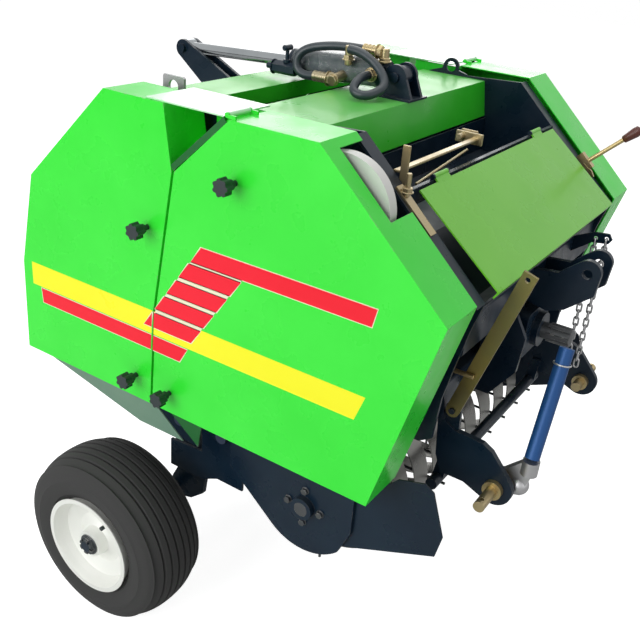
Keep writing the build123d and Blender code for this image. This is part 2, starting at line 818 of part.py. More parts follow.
with BuildPart() as tail_knobs:
    for x, z in TAIL_KNOBS:
        with Locations(turned_y(x, -(PLATE_OUT + KNOB_IN) / 2.0, z)):
            Cylinder(STUD_R, KNOB_IN - PLATE_OUT)
        with BuildSketch(side(-KNOB_IN)):
            with Locations((x, z)):
                Circle(KNOB_R - 2.0)
                with PolarLocations(KNOB_R - 3.0, 7):
                    Circle(4.0)
        extrude(amount=KNOB_DEPTH)
        with Locations(turned_y(x, -KNOB_IN + 5.0, z)):
            Cylinder(9.0, 12.0)
    mirror(about=Plane.XZ)
tail_knobs.part.label = "tail_knobs"
export_step(tail_knobs.part, "parts/tail_knobs.step")

# Wheels

with BuildPart() as wheel_arms:
    with BuildSketch(side(-304.0)):
        outline((
            (-96.0, -324.0),
            (-70.0, -273.0),
            (-70.0, -261.0),
            (-4.0, -261.0),
            (3.0, -289.0),
            (-3.0, -336.0),
            (-38.0, -366.0),
            (-84.0, -378.0),
            (-108.0, -362.0),
        ))
    extrude(amount=12.0)
    with Locations(turned_y(WHEEL[0], -452.0, WHEEL[1])):
        Cylinder(AXLE_R, 296.0)
    mirror(about=Plane.XZ)
wheel_arms.part.label = "wheel_arms"
export_step(wheel_arms.part, "parts/wheel_arms.step")

# Tyre half section, as (distance from the middle plane, radius)
TYRE_SECTION = (
    (50.0, 198.5),
    (68.0, 188.0),
    (81.5, 150.0),
    (68.0, 112.0),
    (58.0, 106.0),
    (52.0, 106.0),
    (64.0, 150.0),
    (44.0, 186.0),
)
with BuildPart() as tyre_right:
    with BuildSketch(Plane(origin=(WHEEL[0] - MID, -WHEEL_Y, SILL + WHEEL[1]), x_dir=(0, 1, 0), z_dir=(1, 0, 0))):
        outline(TYRE_SECTION + tuple((-a, b) for a, b in reversed(TYRE_SECTION)))
    revolve(axis=Axis((WHEEL[0] - MID, 0, SILL + WHEEL[1]), (0, 1, 0)))
tyre_right.part.label = "tyre_right"
export_step(tyre_right.part, "parts/tyre_right.step")

with BuildPart() as tyre_left:
    add(mirror(tyre_right.part, about=Plane.XZ))
tyre_left.part.label = "tyre_left"
export_step(tyre_left.part, "parts/tyre_left.step")

# Rim section on the right wheel, as (y, radius)
RIM_SECTION = (
    (-594.0, 113.0),
    (-596.5, 113.0),
    (-596.5, 103.0),
    (-580.0, 98.0),
    (-566.0, 92.0),
    (-556.0, 60.0),
    (-566.0, 34.0),
    (-588.0, 30.0),
    (-588.0, 12.56),
    (-470.0, 12.56),
    (-470.0, 26.0),
    (-545.0, 30.0),
    (-553.0, 62.0),
    (-560.0, 96.0),
    (-462.0, 98.0),
    (-446.0, 103.0),
    (-429.0, 103.0),
    (-429.0, 113.0),
    (-431.5, 113.0),
    (-434.0, 105.6),
    (-591.0, 105.6),
)
with BuildPart() as rim_right:
    with BuildSketch(Plane(origin=(WHEEL[0] - MID, 0, SILL + WHEEL[1]), x_dir=(0, 1, 0), z_dir=(1, 0, 0))):
        outline(RIM_SECTION)
    revolve(axis=Axis((WHEEL[0] - MID, 0, SILL + WHEEL[1]), (0, 1, 0)))
rim_right.part.label = "rim_right"
export_step(rim_right.part, "parts/rim_right.step")

with BuildPart() as rim_left:
    add(mirror(rim_right.part, about=Plane.XZ))
rim_left.part.label = "rim_left"
export_step(rim_left.part, "parts/rim_left.step")

# Stand, top link and lever

STAND_LEN = math.hypot(STAND_FOOT[0] - STAND_PIN[0], STAND_FOOT[1] - STAND_PIN[1])
STAND_TILT = math.degrees(math.atan2(STAND_FOOT[0] - STAND_PIN[0], STAND_PIN[1] - STAND_FOOT[1]))
with BuildPart() as stand:
    with Locations(Location(((STAND_FOOT[0] + STAND_PIN[0]) / 2.0 - MID, STAND_Y, SILL + (STAND_FOOT[1] + STAND_PIN[1]) / 2.0), (0, 180.0 - STAND_TILT, 0))):
        Box(40.0, 40.0, STAND_LEN - 10.0)
    with Locations(turned_y(STAND_PIN[0], STAND_Y, STAND_PIN[1])):
        Cylinder(20.0, 40.0)
        Cylinder(8.0, 96.0)
    with Locations(at(STAND_FOOT[0], STAND_Y, -546.0)):
        Box(100.0, 100.0, 8.0)
    with Locations(at(STAND_FOOT[0] - 6.0, STAND_Y, -536.0)):
        Box(60.0, 50.0, 16.0)
stand.part.label = "stand"
export_step(stand.part, "parts/stand.step")

with BuildPart() as top_link_eye:
    with BuildSketch(side(-218.0)):
        with Locations(LOWER_PIN):
            Circle(23.0)
        outline(((655.0, 1.0), (694.0, 40.0), (716.0, 30.0), (700.0, -34.0), (660.0, -45.0)))
        with Locations(LOWER_PIN):
            Circle(LOWER_PIN_R + RUNNING, mode=Mode.SUBTRACT)
    extrude(amount=20.0)
    with Locations(at(692.0, -228.0, -19.0)):
        Sphere(19.0)
    with Locations(at(706.0, -233.0, 31.4)):
        Cylinder(16.0, 30.0)
top_link_eye.part.label = "top_link_eye"
export_step(top_link_eye.part, "parts/top_link_eye.step")

LINK_FOOT = (706.0, -235.0, 52.0)
LINK_HEAD = (704.0, -160.0, 251.0)
with BuildPart() as top_link:
    way = Vector(*LINK_HEAD) - Vector(*LINK_FOOT)
    with BuildSketch(Plane(origin=(LINK_FOOT[0] - MID, LINK_FOOT[1], SILL + LINK_FOOT[2]), z_dir=(way.X, way.Y, way.Z))):
        Circle(14.0)
    extrude(amount=way.length)
top_link.part.label = "top_link"
export_step(top_link.part, "parts/top_link.step")

with BuildPart() as trip_lever:
    with BuildSketch(side(-LEVER_IN)):
        with Locations(LEVER_FOOT):
            Circle(13.5)
        outline(((538.0, 110.0), (564.0, 102.0), (657.0, 406.0), (631.0, 414.0)))
        with Locations(LEVER_FOOT):
            Circle(6.0 + RUNNING, mode=Mode.SUBTRACT)
        with Locations(LEVER_HEAD):
            Circle(5.0, mode=Mode.SUBTRACT)
    extrude(amount=LEVER_OUT - LEVER_IN)
trip_lever.part.label = "trip_lever"
export_step(trip_lever.part, "parts/trip_lever.step")
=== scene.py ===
"""Looks of a small three-point mounted round baler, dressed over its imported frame."""

import logging
import math
from dataclasses import dataclass, field
from enum import Enum

import bmesh
import bpy
from mathutils import Matrix, Vector


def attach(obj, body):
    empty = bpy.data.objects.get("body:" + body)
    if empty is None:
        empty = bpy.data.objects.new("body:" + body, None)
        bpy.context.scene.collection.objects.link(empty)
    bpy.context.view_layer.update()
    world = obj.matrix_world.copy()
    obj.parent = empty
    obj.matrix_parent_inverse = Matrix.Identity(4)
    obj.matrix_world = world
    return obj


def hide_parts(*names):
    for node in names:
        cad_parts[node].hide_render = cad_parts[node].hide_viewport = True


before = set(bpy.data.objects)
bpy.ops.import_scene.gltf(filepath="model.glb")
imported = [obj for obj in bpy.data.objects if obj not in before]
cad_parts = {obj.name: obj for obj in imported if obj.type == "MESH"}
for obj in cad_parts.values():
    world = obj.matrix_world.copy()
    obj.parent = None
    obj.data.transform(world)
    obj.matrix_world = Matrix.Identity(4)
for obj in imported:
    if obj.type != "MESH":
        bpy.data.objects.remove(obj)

log = logging.getLogger("hay_baler")

Point = tuple[float, float, float]
Flat = tuple[float, float]
Colour = tuple[float, float, float]
Shade = tuple[float, float, float, float]
Socket = bpy.types.NodeSocket
Corner = bmesh.types.BMVert

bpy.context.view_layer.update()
MID = 0.178
SILL = 0.550


def spot(x: float, y: float, z: float) -> Vector:
    """Turns a place given in mm from the foot of the cover seam into metres in the row frame.

    Args:
        x: Millimetres forward of the seam.
        y: Millimetres to the machine's left.
        z: Millimetres above the covers' lower edge.

    Returns:
        The same place in metres.
    """
    return Vector((x / 1000.0 - MID, y / 1000.0, z / 1000.0 + SILL))


# ---------------------------------------------------------------- node trees


@dataclass
class Wiring:
    """The node tree of one material or of the surround.

    Args:
        tree: The tree being wired.
    """

    tree: bpy.types.NodeTree

    @classmethod
    def fresh(cls, owner: bpy.types.ID) -> "Wiring":
        """Empties the node tree of a material or a world.

        Args:
            owner: The material or the world.

        Returns:
            Its wiring.
        """
        owner.use_nodes = True
        owner.node_tree.nodes.clear()
        return cls(owner.node_tree)

    def add(self, kind: str, feeds: dict[str | int, object], **settings: object) -> bpy.types.Node:
        """Adds a node and feeds its inputs.

        Args:
            kind: The node's type, without the ShaderNode that each begins with.
            feeds: For each input, the socket to link or the value to set.
            settings: Properties of the node itself, set first.

        Returns:
            The node.
        """
        node = self.tree.nodes.new("ShaderNode" + kind)
        for name, value in settings.items():
            setattr(node, name, value)
        for name, feed in feeds.items():
            if isinstance(feed, bpy.types.NodeSocket):
                self.tree.links.new(feed, node.inputs[name])
            else:
                node.inputs[name].default_value = feed
        return node

    def noise(self, place: Socket, scale: float, detail: float, rough: float = 0.5) -> Socket:
        """A noise field's factor.

        Args:
            place: Where it is sampled.
            scale: Repeats per metre.
            detail: Octaves.
            rough: How strong the finer octaves are.

        Returns:
            The factor.
        """
        feeds = {"Vector": place, "Scale": scale, "Detail": detail, "Roughness": rough}
        return self.add("TexNoise", feeds).outputs["Fac"]

    def remap(self, value: Socket, low: float, high: float, foot: float = 0.0, head: float = 1.0) -> Socket:
        """Maps the span from low to high onto the span from foot to head, clamped.

        Args:
            value: What is mapped.
            low: Start of its span.
            high: End of its span.
            foot: What low becomes.
            head: What high becomes.

        Returns:
            The mapped value.
        """
        feeds = {"Value": value, "From Min": low, "From Max": high, "To Min": foot, "To Max": head}
        return self.add("MapRange", feeds).outputs["Result"]

    def join(self, operation: str, first: Socket, second: Socket | float) -> Socket:
        """Two values worked into one."""
        return self.add("Math", {0: first, 1: second}, operation=operation).outputs["Value"]

    def blend(self, share: Socket, first: Socket | Shade, second: Shade) -> Socket:
        """The first colour, leaning to the second by a share."""
        return self.add("Mix", {"Factor": share, "A": first, "B": second}, data_type="RGBA").outputs["Result"]


# ---------------------------------------------------------------- finishes


PATCH_SCALE = 5.0
WANDER_SCALE = 14.0
# Size of the chipped spots where edges are lightened, as rubbed paint and as painted highlight.
CHIP_AND_HIGHLIGHT_SCALE = 60.0
BRUSH_STRETCH = (0.12, 1.0, 1.0)
ROUNDING_RAYS = 4
# Reach of the lightened edges in edge roundings: rubbed paint and painted highlight.
EDGE_WEAR_AND_HIGHLIGHT_REACH = 2.2
COAT_ROUGHNESS = 0.08
DUST_SHADE = (0.62, 0.60, 0.52, 1.0)


class Grain(Enum):
    """How a finish's fine surface is laid."""

    ORANGE_PEEL = "orange peel"
    BRUSHED = "brushed"
    CAST = "cast"
    MOULDED = "moulded"


@dataclass(frozen=True)
class Finish:
    """One surface finish, made into a node material.

    Args:
        name: The material's name.
        colour: Linear base colour.
        second: Linear colour that the patches lean to.
        metallic: Metalness of the surface.
        roughness: Middle roughness.
        spread: How far the roughness wanders.
        coat: Weight of a clear coat.
        grain: The kind of fine surface.
        grain_size: Repeats of the grain per metre.
        depth: Height of the grain in millimetres.
        edge_wear_and_highlight: Share of edges lightened, partly chipped paint rubbed to the metal and partly
            painted highlight.
        bare_and_highlight: Colour at those edges, metal showing through and painted highlight.
        edge: Edge rounding in millimetres.
        dust: Weight of pale dust on what faces up.
        shine: Level of the plain gloss.
    """

    name: str
    colour: Colour
    second: Colour
    metallic: float = 0.0
    roughness: float = 0.35
    spread: float = 0.08
    coat: float = 0.0
    grain: Grain = Grain.ORANGE_PEEL
    grain_size: float = 260.0
    depth: float = 0.02
    edge_wear_and_highlight: float = 0.0
    bare_and_highlight: Colour = (0.30, 0.30, 0.30)
    edge: float = 0.8
    dust: float = 0.0
    shine: float = 0.5

    def make(self) -> bpy.types.Material:
        """Makes the material, once.

        Returns:
            The material of this finish.
        """
        made = bpy.data.materials.get(self.name)
        if made:
            return made
        made = bpy.data.materials.new(self.name)
        wiring = Wiring.fresh(made)
        place = wiring.add("TexCoord", {}).outputs["Object"]
        flat = wiring.add("NewGeometry", {}).outputs["Normal"]
        wander = wiring.noise(place, WANDER_SCALE, 8.0)
        tone = self.tone(wiring, place)
        # Lightens the edges in chipped spots: paint rubbed to the metal, and a painted highlight along the edges.
        if self.edge_wear_and_highlight > 0.0:
            tone = self.worn_and_highlit_edges(wiring, place, flat, tone)
        if self.dust > 0.0:
            tone = self.dusted(wiring, wander, flat, tone)
        smoothest = max(self.roughness - self.spread, 0.03)
        roughest = min(self.roughness + self.spread, 1.0)
        shader = wiring.add(
            "BsdfPrincipled",
            {
                "Base Color": tone,
                "Metallic": self.metallic,
                "Roughness": wiring.remap(wander, 0.3, 0.7, smoothest, roughest),
                "Specular IOR Level": self.shine,
                "Coat Weight": self.coat,
                "Coat Roughness": COAT_ROUGHNESS,
                "Normal": self.relief(wiring, place),
            },
        )
        wiring.add("OutputMaterial", {"Surface": shader.outputs["BSDF"]})
        return made

    def tone(self, wiring: Wiring, place: Socket) -> Socket:
        """The base colour in soft patches."""
        patches = wiring.noise(place, PATCH_SCALE, 6.0, 0.6)
        return wiring.blend(wiring.remap(patches, 0.38, 0.68), (*self.colour, 1.0), (*self.second, 1.0))

    def relief(self, wiring: Wiring, place: Socket) -> Socket:
        """The grain's normal, laid over rounded edges.

        Args:
            wiring: The material's wiring.
            place: Object coordinates.

        Returns:
            The normal.
        """
        if self.grain is Grain.BRUSHED:
            place = wiring.add("Mapping", {"Vector": place, "Scale": BRUSH_STRETCH}).outputs["Vector"]
        rounded = wiring.add("Bevel", {"Radius": self.edge / 1000.0}, samples=ROUNDING_RAYS).outputs["Normal"]
        grain = wiring.noise(place, self.grain_size, 3.0)
        feeds = {"Height": grain, "Normal": rounded, "Distance": self.depth / 1000.0, "Strength": 1.0}
        return wiring.add("Bump", feeds).outputs["Normal"]

    def worn_and_highlit_edges(self, wiring: Wiring, place: Socket, flat: Socket, tone: Socket) -> Socket:
        """The tone lightened in chipped spots along the edges, partly paint rubbed to the metal and partly painted
        highlight.

        Args:
            wiring: The material's wiring.
            place: Object coordinates.
            flat: The face's own normal.
            tone: The colour so far.

        Returns:
            The colour with lightened edges.
        """
        reach = self.edge * EDGE_WEAR_AND_HIGHLIGHT_REACH / 1000.0
        wide = wiring.add("Bevel", {"Radius": reach}, samples=ROUNDING_RAYS).outputs["Normal"]
        turned = wiring.add("VectorMath", {0: wide, 1: flat}, operation="DOT_PRODUCT").outputs["Value"]
        near = wiring.remap(turned, 0.97, 0.80)
        less = 0.2 * self.edge_wear_and_highlight
        chips_and_highlights = wiring.remap(wiring.noise(place, CHIP_AND_HIGHLIGHT_SCALE, 6.0), 0.62 - less, 0.70 - less)
        # The edge mask times the chipped spots blends to the edge colour: rubbed paint, and a painted highlight
        # where that colour is lighter.
        return wiring.blend(wiring.join("MULTIPLY", near, chips_and_highlights), tone, (*self.bare_and_highlight, 1.0))

    def dusted(self, wiring: Wiring, wander: Socket, flat: Socket, tone: Socket) -> Socket:
        """The tone under pale dust on what faces up.

        Args:
            wiring: The material's wiring.
            wander: The noise that thins the dust.
            flat: The face's own normal.
            tone: The colour so far.

        Returns:
            The dusty colour.
        """
        up = wiring.add("SeparateXYZ", {"Vector": flat}).outputs["Z"]
        lies = wiring.remap(up, 0.35, 1.0, 0.0, self.dust)
        return wiring.blend(wiring.join("MULTIPLY", lies, wander), tone, DUST_SHADE)


COVER_PAINT = Finish(
    "cover_paint", (0.030, 0.80, 0.034), (0.042, 0.86, 0.046), roughness=0.30, coat=0.12, shine=0.4,
    depth=0.012, edge_wear_and_highlight=0.25, bare_and_highlight=(0.30, 0.42, 0.25), edge=1.2,
)
SHEET_PAINT = Finish(
    "sheet_paint", (0.030, 0.62, 0.018), (0.050, 0.68, 0.030), roughness=0.34, coat=0.1, depth=0.012, shine=0.35,
    edge_wear_and_highlight=0.3, bare_and_highlight=(0.30, 0.40, 0.22), edge=1.0, dust=0.35,
)
FRAME_PAINT = Finish(
    "frame_paint", (0.004, 0.013, 0.027), (0.007, 0.020, 0.038), roughness=0.34, spread=0.14, coat=0.06,
    depth=0.03, edge_wear_and_highlight=0.5, bare_and_highlight=(0.12, 0.115, 0.10), dust=0.06, shine=0.22,
)
DARK_GREEN_PAINT = Finish(
    "dark_green_paint", (0.010, 0.12, 0.025), (0.016, 0.16, 0.035), roughness=0.36, coat=0.05, shine=0.25, edge_wear_and_highlight=0.3,
)
GOLD_ZINC = Finish(
    "gold_zinc", (0.46, 0.35, 0.16), (0.38, 0.33, 0.22), metallic=0.85, roughness=0.34, spread=0.12,
    grain=Grain.BRUSHED, grain_size=340.0, edge_wear_and_highlight=0.2, bare_and_highlight=(0.35, 0.30, 0.25),
)
BARE_STEEL = Finish(
    "bare_steel", (0.36, 0.36, 0.35), (0.46, 0.46, 0.45), metallic=0.9, roughness=0.36, spread=0.14,
    grain=Grain.BRUSHED, grain_size=300.0, depth=0.03,
)
DULL_STEEL = Finish(
    "dull_steel", (0.07, 0.08, 0.09), (0.13, 0.13, 0.13), metallic=0.8, roughness=0.45, spread=0.15,
    depth=0.05, edge_wear_and_highlight=0.5, bare_and_highlight=(0.45, 0.44, 0.42),
)
BAND_STEEL = Finish(
    "band_steel", (0.20, 0.20, 0.19), (0.30, 0.29, 0.27), metallic=0.75, roughness=0.32, spread=0.1,
    grain=Grain.BRUSHED, grain_size=220.0, dust=0.2,
)
ROD_CHROME = Finish(
    "rod_chrome", (0.34, 0.36, 0.37), (0.26, 0.28, 0.29), metallic=1.0, roughness=0.12, spread=0.05,
    grain=Grain.BRUSHED, grain_size=500.0, depth=0.005,
)
PULLEY_GREY = Finish(
    "pulley_grey", (0.52, 0.55, 0.52), (0.62, 0.63, 0.60), metallic=0.25, roughness=0.45,
    grain=Grain.CAST, grain_size=420.0, depth=0.05, edge_wear_and_highlight=0.4, bare_and_highlight=(0.7, 0.7, 0.68),
)
LINK_BLUE = Finish(
    "link_blue", (0.004, 0.034, 0.085), (0.007, 0.05, 0.12), roughness=0.3, coat=0.3, edge_wear_and_highlight=0.3, dust=0.1,
)
ROLLER_PAINT = Finish(
    "roller_paint", (0.03, 0.055, 0.075), (0.10, 0.10, 0.10), roughness=0.45, spread=0.15, edge_wear_and_highlight=0.6,
    bare_and_highlight=(0.4, 0.39, 0.37), depth=0.04,
)
TYRE_RUBBER = Finish(
    "tyre_rubber", (0.010, 0.012, 0.014), (0.018, 0.019, 0.020), roughness=0.52, spread=0.12,
    grain=Grain.MOULDED, grain_size=700.0, depth=0.05, dust=0.05, edge=0.6,
)
RIM_WHITE = Finish(
    "rim_white", (0.76, 0.80, 0.76), (0.70, 0.74, 0.70), roughness=0.28, coat=0.35, edge_wear_and_highlight=0.2,
    bare_and_highlight=(0.35, 0.33, 0.30), depth=0.01,
)
KNOB_BLACK = Finish(
    "knob_black", (0.012, 0.022, 0.024), (0.02, 0.03, 0.032), roughness=0.4, grain=Grain.MOULDED,
    grain_size=900.0, depth=0.03, edge=1.4,
)
STRIPE_YELLOW = Finish(
    "stripe_yellow", (0.95, 0.92, 0.012), (0.97, 0.94, 0.02), roughness=0.34, coat=0.05, shine=0.3, depth=0.004,
    edge=0.1,
)
STRIPE_RED = Finish(
    "stripe_red", (0.90, 0.004, 0.022), (0.93, 0.008, 0.030), roughness=0.34, coat=0.05, shine=0.3, depth=0.004,
    edge=0.1,
)
STRIPE_CREAM = Finish(
    "stripe_cream", (0.80, 0.80, 0.52), (0.86, 0.85, 0.60), roughness=0.34, coat=0.2, depth=0.004, edge=0.1,
)


@dataclass(frozen=True)
class ClearFilm:
    """Thin crumpled wrapping film, see-through with sharp glints.

    Args:
        name: The material's name.
        cover: How much of what lies below is hidden.
    """

    name: str = "clear_film"
    cover: float = 0.20

    def make(self) -> bpy.types.Material:
        """Makes the material, once.

        Returns:
            The film's material.
        """
        made = bpy.data.materials.get(self.name)
        if made:
            return made
        made = bpy.data.materials.new(self.name)
        wiring = Wiring.fresh(made)
        place = wiring.add("TexCoord", {}).outputs["Object"]
        folds = wiring.add("TexVoronoi", {"Vector": place, "Scale": 70.0}).outputs["Distance"]
        creases = wiring.add("Bump", {"Height": folds, "Distance": 0.004, "Strength": 0.8})
        shader = wiring.add(
            "BsdfPrincipled",
            {
                "Base Color": wiring.blend(folds, (0.42, 0.52, 0.50, 1.0), (0.78, 0.82, 0.80, 1.0)),
                "Roughness": 0.12,
                "Alpha": self.cover,
                "Normal": creases.outputs["Normal"],
            },
        )
        wiring.add("OutputMaterial", {"Surface": shader.outputs["BSDF"]})
        return made


# Near-white pale green of the flap: a painted reflection of the bright sky on its upper face.
FLAP_SKY_SHEEN_PAINT = Finish(
    "flap_paint_sky_sheen", (0.50, 0.90, 0.54), (0.58, 0.92, 0.60), roughness=0.24, coat=0.5, depth=0.01, edge_wear_and_highlight=0.2,
    bare_and_highlight=(0.30, 0.42, 0.25), edge=1.0,
)
# Paler, yellower green of the twine lid than of the covers: partly dust, partly a painted reflection of white light.
LID_DUST_AND_SHEEN_PAINT = Finish(
    "lid_paint_dust_and_sheen", (0.17, 0.64, 0.030), (0.20, 0.68, 0.045), roughness=0.30, coat=0.06, shine=0.28, depth=0.012,
    edge_wear_and_highlight=0.3, bare_and_highlight=(0.32, 0.40, 0.22), edge=1.0, dust=0.12,
)
OLIVE_ZINC = Finish(
    "olive_zinc", (0.24, 0.19, 0.055), (0.17, 0.16, 0.08), metallic=0.7, roughness=0.38, spread=0.12,
    grain=Grain.BRUSHED, grain_size=340.0, edge_wear_and_highlight=0.3, bare_and_highlight=(0.10, 0.08, 0.05),
)
# Dull grey-green of the rear skirt: painted shade and reflected light on a green inner plate.
SKIRT_SHADE_AND_SHEEN_GREY = Finish(
    "skirt_grey_painted_shade", (0.13, 0.24, 0.17), (0.17, 0.28, 0.20), roughness=0.55, depth=0.03, edge_wear_and_highlight=0.4, dust=0.2,
)
HOSE_RUBBER = Finish(
    "hose_rubber", (0.014, 0.026, 0.036), (0.022, 0.034, 0.044), roughness=0.42, grain=Grain.MOULDED,
    grain_size=1400.0, depth=0.08, edge=0.3, dust=0.1,
)
GRIP_BROWN = Finish(
    "grip_brown", (0.10, 0.022, 0.014), (0.14, 0.035, 0.02), roughness=0.35, grain=Grain.MOULDED,
    grain_size=900.0, depth=0.03,
)

NODE_FINISH: dict[str, Finish] = {
    "front_cover": COVER_PAINT,
    "rear_cover": COVER_PAINT,
    "flap": FLAP_SKY_SHEEN_PAINT,
    "top_sheet": SHEET_PAINT,
    "twine_lid": LID_DUST_AND_SHEEN_PAINT,
    "tail_shell": SHEET_PAINT,
    "tyre": TYRE_RUBBER,
    "rim": RIM_WHITE,
    "lower_pins": GOLD_ZINC,
    "trip_lever": OLIVE_ZINC,
    "top_link_eye": BARE_STEEL,
    "top_link": LINK_BLUE,
    "pickup_reel": DULL_STEEL,
    "pto_shaft": DULL_STEEL,
    "stripper_bands": BAND_STEEL,
    "twine_pulley": PULLEY_GREY,
    "cylinder_rod": ROD_CHROME,
    "cylinder_barrel": FRAME_PAINT,
    "front_roller": ROLLER_PAINT,
    "tail_roller": ROLLER_PAINT,
    "front_knobs": KNOB_BLACK,
    "tail_knobs": KNOB_BLACK,
}


def finish_of(node: str) -> Finish:
    """Finds the finish of a frame node by the longest matching start of its name.

    Args:
        node: The node's name.

    Returns:
        Its finish, frame paint where none is named.
    """
    known = [key for key in NODE_FINISH if node.startswith(key)]
    return NODE_FINISH[max(known, key=len)] if known else FRAME_PAINT


def dress_nodes() -> None:
    """Gives every frame node its material."""
    for name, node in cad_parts.items():
        node.data.materials.clear()
        node.data.materials.append(finish_of(name).make())
        log.info("node %s: %s", name, finish_of(name).name)


# ---------------------------------------------------------------- mesh helpers


SMOOTH_UNDER = math.radians(35.0)
WASHER = 0.0018


def piece(name: str, mesh: bpy.types.Mesh, finish: Finish, body: str, smooth: bool = True) -> bpy.types.Object:
    """Links a mesh as a named piece that rides on a body.

    Args:
        name: Name of the piece.
        mesh: Its mesh, in the row frame.
        finish: Its finish.
        body: The body that carries it.
        smooth: Whether faces at a small angle to each other shade smooth.

    Returns:
        The piece.
    """
    made = bpy.data.objects.new(name, mesh)
    bpy.context.scene.collection.objects.link(made)
    mesh.materials.clear()
    mesh.materials.append(finish.make())
    if smooth:
        mesh.shade_smooth()
        mesh.set_sharp_from_angle(angle=SMOOTH_UNDER)
    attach(made, body)
    log.info("piece %s rides on %s", name, body)
    return made


def mesh_of(build: bmesh.types.BMesh, name: str) -> bpy.types.Mesh:
    """Turns a bmesh into a mesh with outward normals and frees it.

    Args:
        build: What was built.
        name: Name of the mesh.

    Returns:
        The mesh.
    """
    bmesh.ops.recalc_face_normals(build, faces=build.faces)
    mesh = bpy.data.meshes.new(name)
    build.to_mesh(mesh)
    build.free()
    return mesh


def add_slab(build: bmesh.types.BMesh, corners: list[Vector], lift: Vector) -> None:
    """Adds a thin solid from a flat outline.

    Args:
        build: The mesh being built.
        corners: The outline, in order.
        lift: From the lower face to the upper one.
    """
    low = [build.verts.new(c) for c in corners]
    high = [build.verts.new(c + lift) for c in corners]
    build.faces.new(low[::-1])
    build.faces.new(high)
    add_band(build, low, high)


def add_ring(build: bmesh.types.BMesh, place: Matrix, radius: float, level: float, steps: int) -> list[Corner]:
    """Adds a ring of corners round the local Z axis.

    Args:
        build: The mesh being built.
        place: Where the local frame sits.
        radius: The ring's radius in metres.
        level: Its height along the axis in metres.
        steps: How many corners it has.

    Returns:
        The corners, in order.
    """
    turns = [2.0 * math.pi * i / steps for i in range(steps)]
    return [build.verts.new(place @ Vector((radius * math.cos(t), radius * math.sin(t), level))) for t in turns]


def add_band(build: bmesh.types.BMesh, low: list[Corner], high: list[Corner]) -> None:
    """Joins two rings of corners by four-sided faces."""
    for i in range(len(low)):
        j = (i + 1) % len(low)
        build.faces.new((low[i], low[j], high[j], high[i]))


def add_lathe(build: bmesh.types.BMesh, profile: list[Flat], place: Matrix, turns: int = 48) -> None:
    """Adds a surface turned about the local Z axis.

    Args:
        build: The mesh being built.
        profile: (radius, height) pairs in metres, from one end to the other.
        place: Where the local frame sits.
        turns: Steps round the axis.
    """
    rings = [add_ring(build, place, r, h, 1 if r < 1e-6 else turns) for r, h in profile]
    for low, high in zip(rings, rings[1:]):
        if len(low) == len(high) == turns:
            add_band(build, low, high)
            continue
        for i in range(turns if len(low) != len(high) else 0):
            j = (i + 1) % turns
            build.faces.new((low[0], high[i], high[j]) if len(low) == 1 else (low[i], low[j], high[0]))


def facing(place: Vector, axis: Vector) -> Matrix:
    """A frame at a place whose Z runs along an axis."""
    turn = Vector((0.0, 0.0, 1.0)).rotation_difference(axis.normalized())
    return Matrix.Translation(place) @ turn.to_matrix().to_4x4()


def add_hex(build: bmesh.types.BMesh, place: Matrix, across: float, height: float) -> None:
    """Adds a hexagon head with chamfered corners on a washer.

    Args:
        build: The mesh being built.
        place: Foot of the head, Z pointing out.
        across: Size across the flats in metres.
        height: Height of the head in metres.
    """
    corner = across / math.sqrt(3.0)
    washer = across * 0.66
    rim = [(0.0, 0.0), (washer, 0.0), (washer, 0.0012), (washer - 0.0006, WASHER), (0.0, WASHER)]
    add_lathe(build, rim, place, 24)
    levels = ((corner, WASHER), (corner, height * 0.86 + WASHER), (corner * 0.90, height + WASHER))
    rings = [add_ring(build, place, radius, level, 6) for radius, level in levels]
    for low, high in zip(rings, rings[1:]):
        add_band(build, low, high)
    build.faces.new(rings[-1])


def ring_loop(x: float, z: float, radius: float, steps: int = 24) -> list[Flat]:
    """A round hole's outline in a plate, all in mm."""
    return [
        (x + radius * math.cos(2.0 * math.pi * i / steps), z + radius * math.sin(2.0 * math.pi * i / steps))
        for i in range(steps)
    ]


def pour(part: bmesh.types.BMesh, build: bmesh.types.BMesh) -> None:
    """Moves a finished bmesh into the one being built and frees it."""
    mesh = bpy.data.meshes.new("poured")
    part.to_mesh(mesh)
    part.free()
    build.from_mesh(mesh)
    bpy.data.meshes.remove(mesh)


def add_plate(
    build: bmesh.types.BMesh, outer: list[Flat], y_from: float, y_to: float, holes: list[list[Flat]] | None = None
) -> None:
    """Adds an upright plate seen from the side, with holes through it.

    Args:
        build: The mesh being built.
        outer: Its outline as (x, z) in mm.
        y_from: One face, mm.
        y_to: The other face, mm.
        holes: Outlines of the holes.
    """
    part = bmesh.new()
    for loop in [outer] + (holes or []):
        points = [part.verts.new(spot(x, y_from, z)) for x, z in loop]
        for i, point in enumerate(points):
            part.edges.new((point, points[(i + 1) % len(points)]))
    bmesh.ops.triangle_fill(part, use_beauty=True, use_dissolve=False, edges=part.edges[:])
    grown = bmesh.ops.extrude_face_region(part, geom=part.faces[:])
    moved = [v for v in grown["geom"] if isinstance(v, bmesh.types.BMVert)]
    bmesh.ops.translate(part, verts=moved, vec=Vector((0.0, (y_to - y_from) / 1000.0, 0.0)))
    bmesh.ops.recalc_face_normals(part, faces=part.faces)
    pour(part, build)


def add_block(build: bmesh.types.BMesh, centre: Point, size: Point, ease: float = 0.8) -> None:
    """Adds a block with eased edges, centre and size in mm."""
    part = bmesh.new()
    bmesh.ops.create_cube(part, size=1.0)
    bmesh.ops.scale(part, vec=Vector(size) / 1000.0, verts=part.verts)
    bmesh.ops.translate(part, vec=spot(*centre), verts=part.verts)
    bmesh.ops.bevel(part, geom=part.edges[:], offset=ease / 1000.0, segments=2, affect="EDGES")
    pour(part, build)


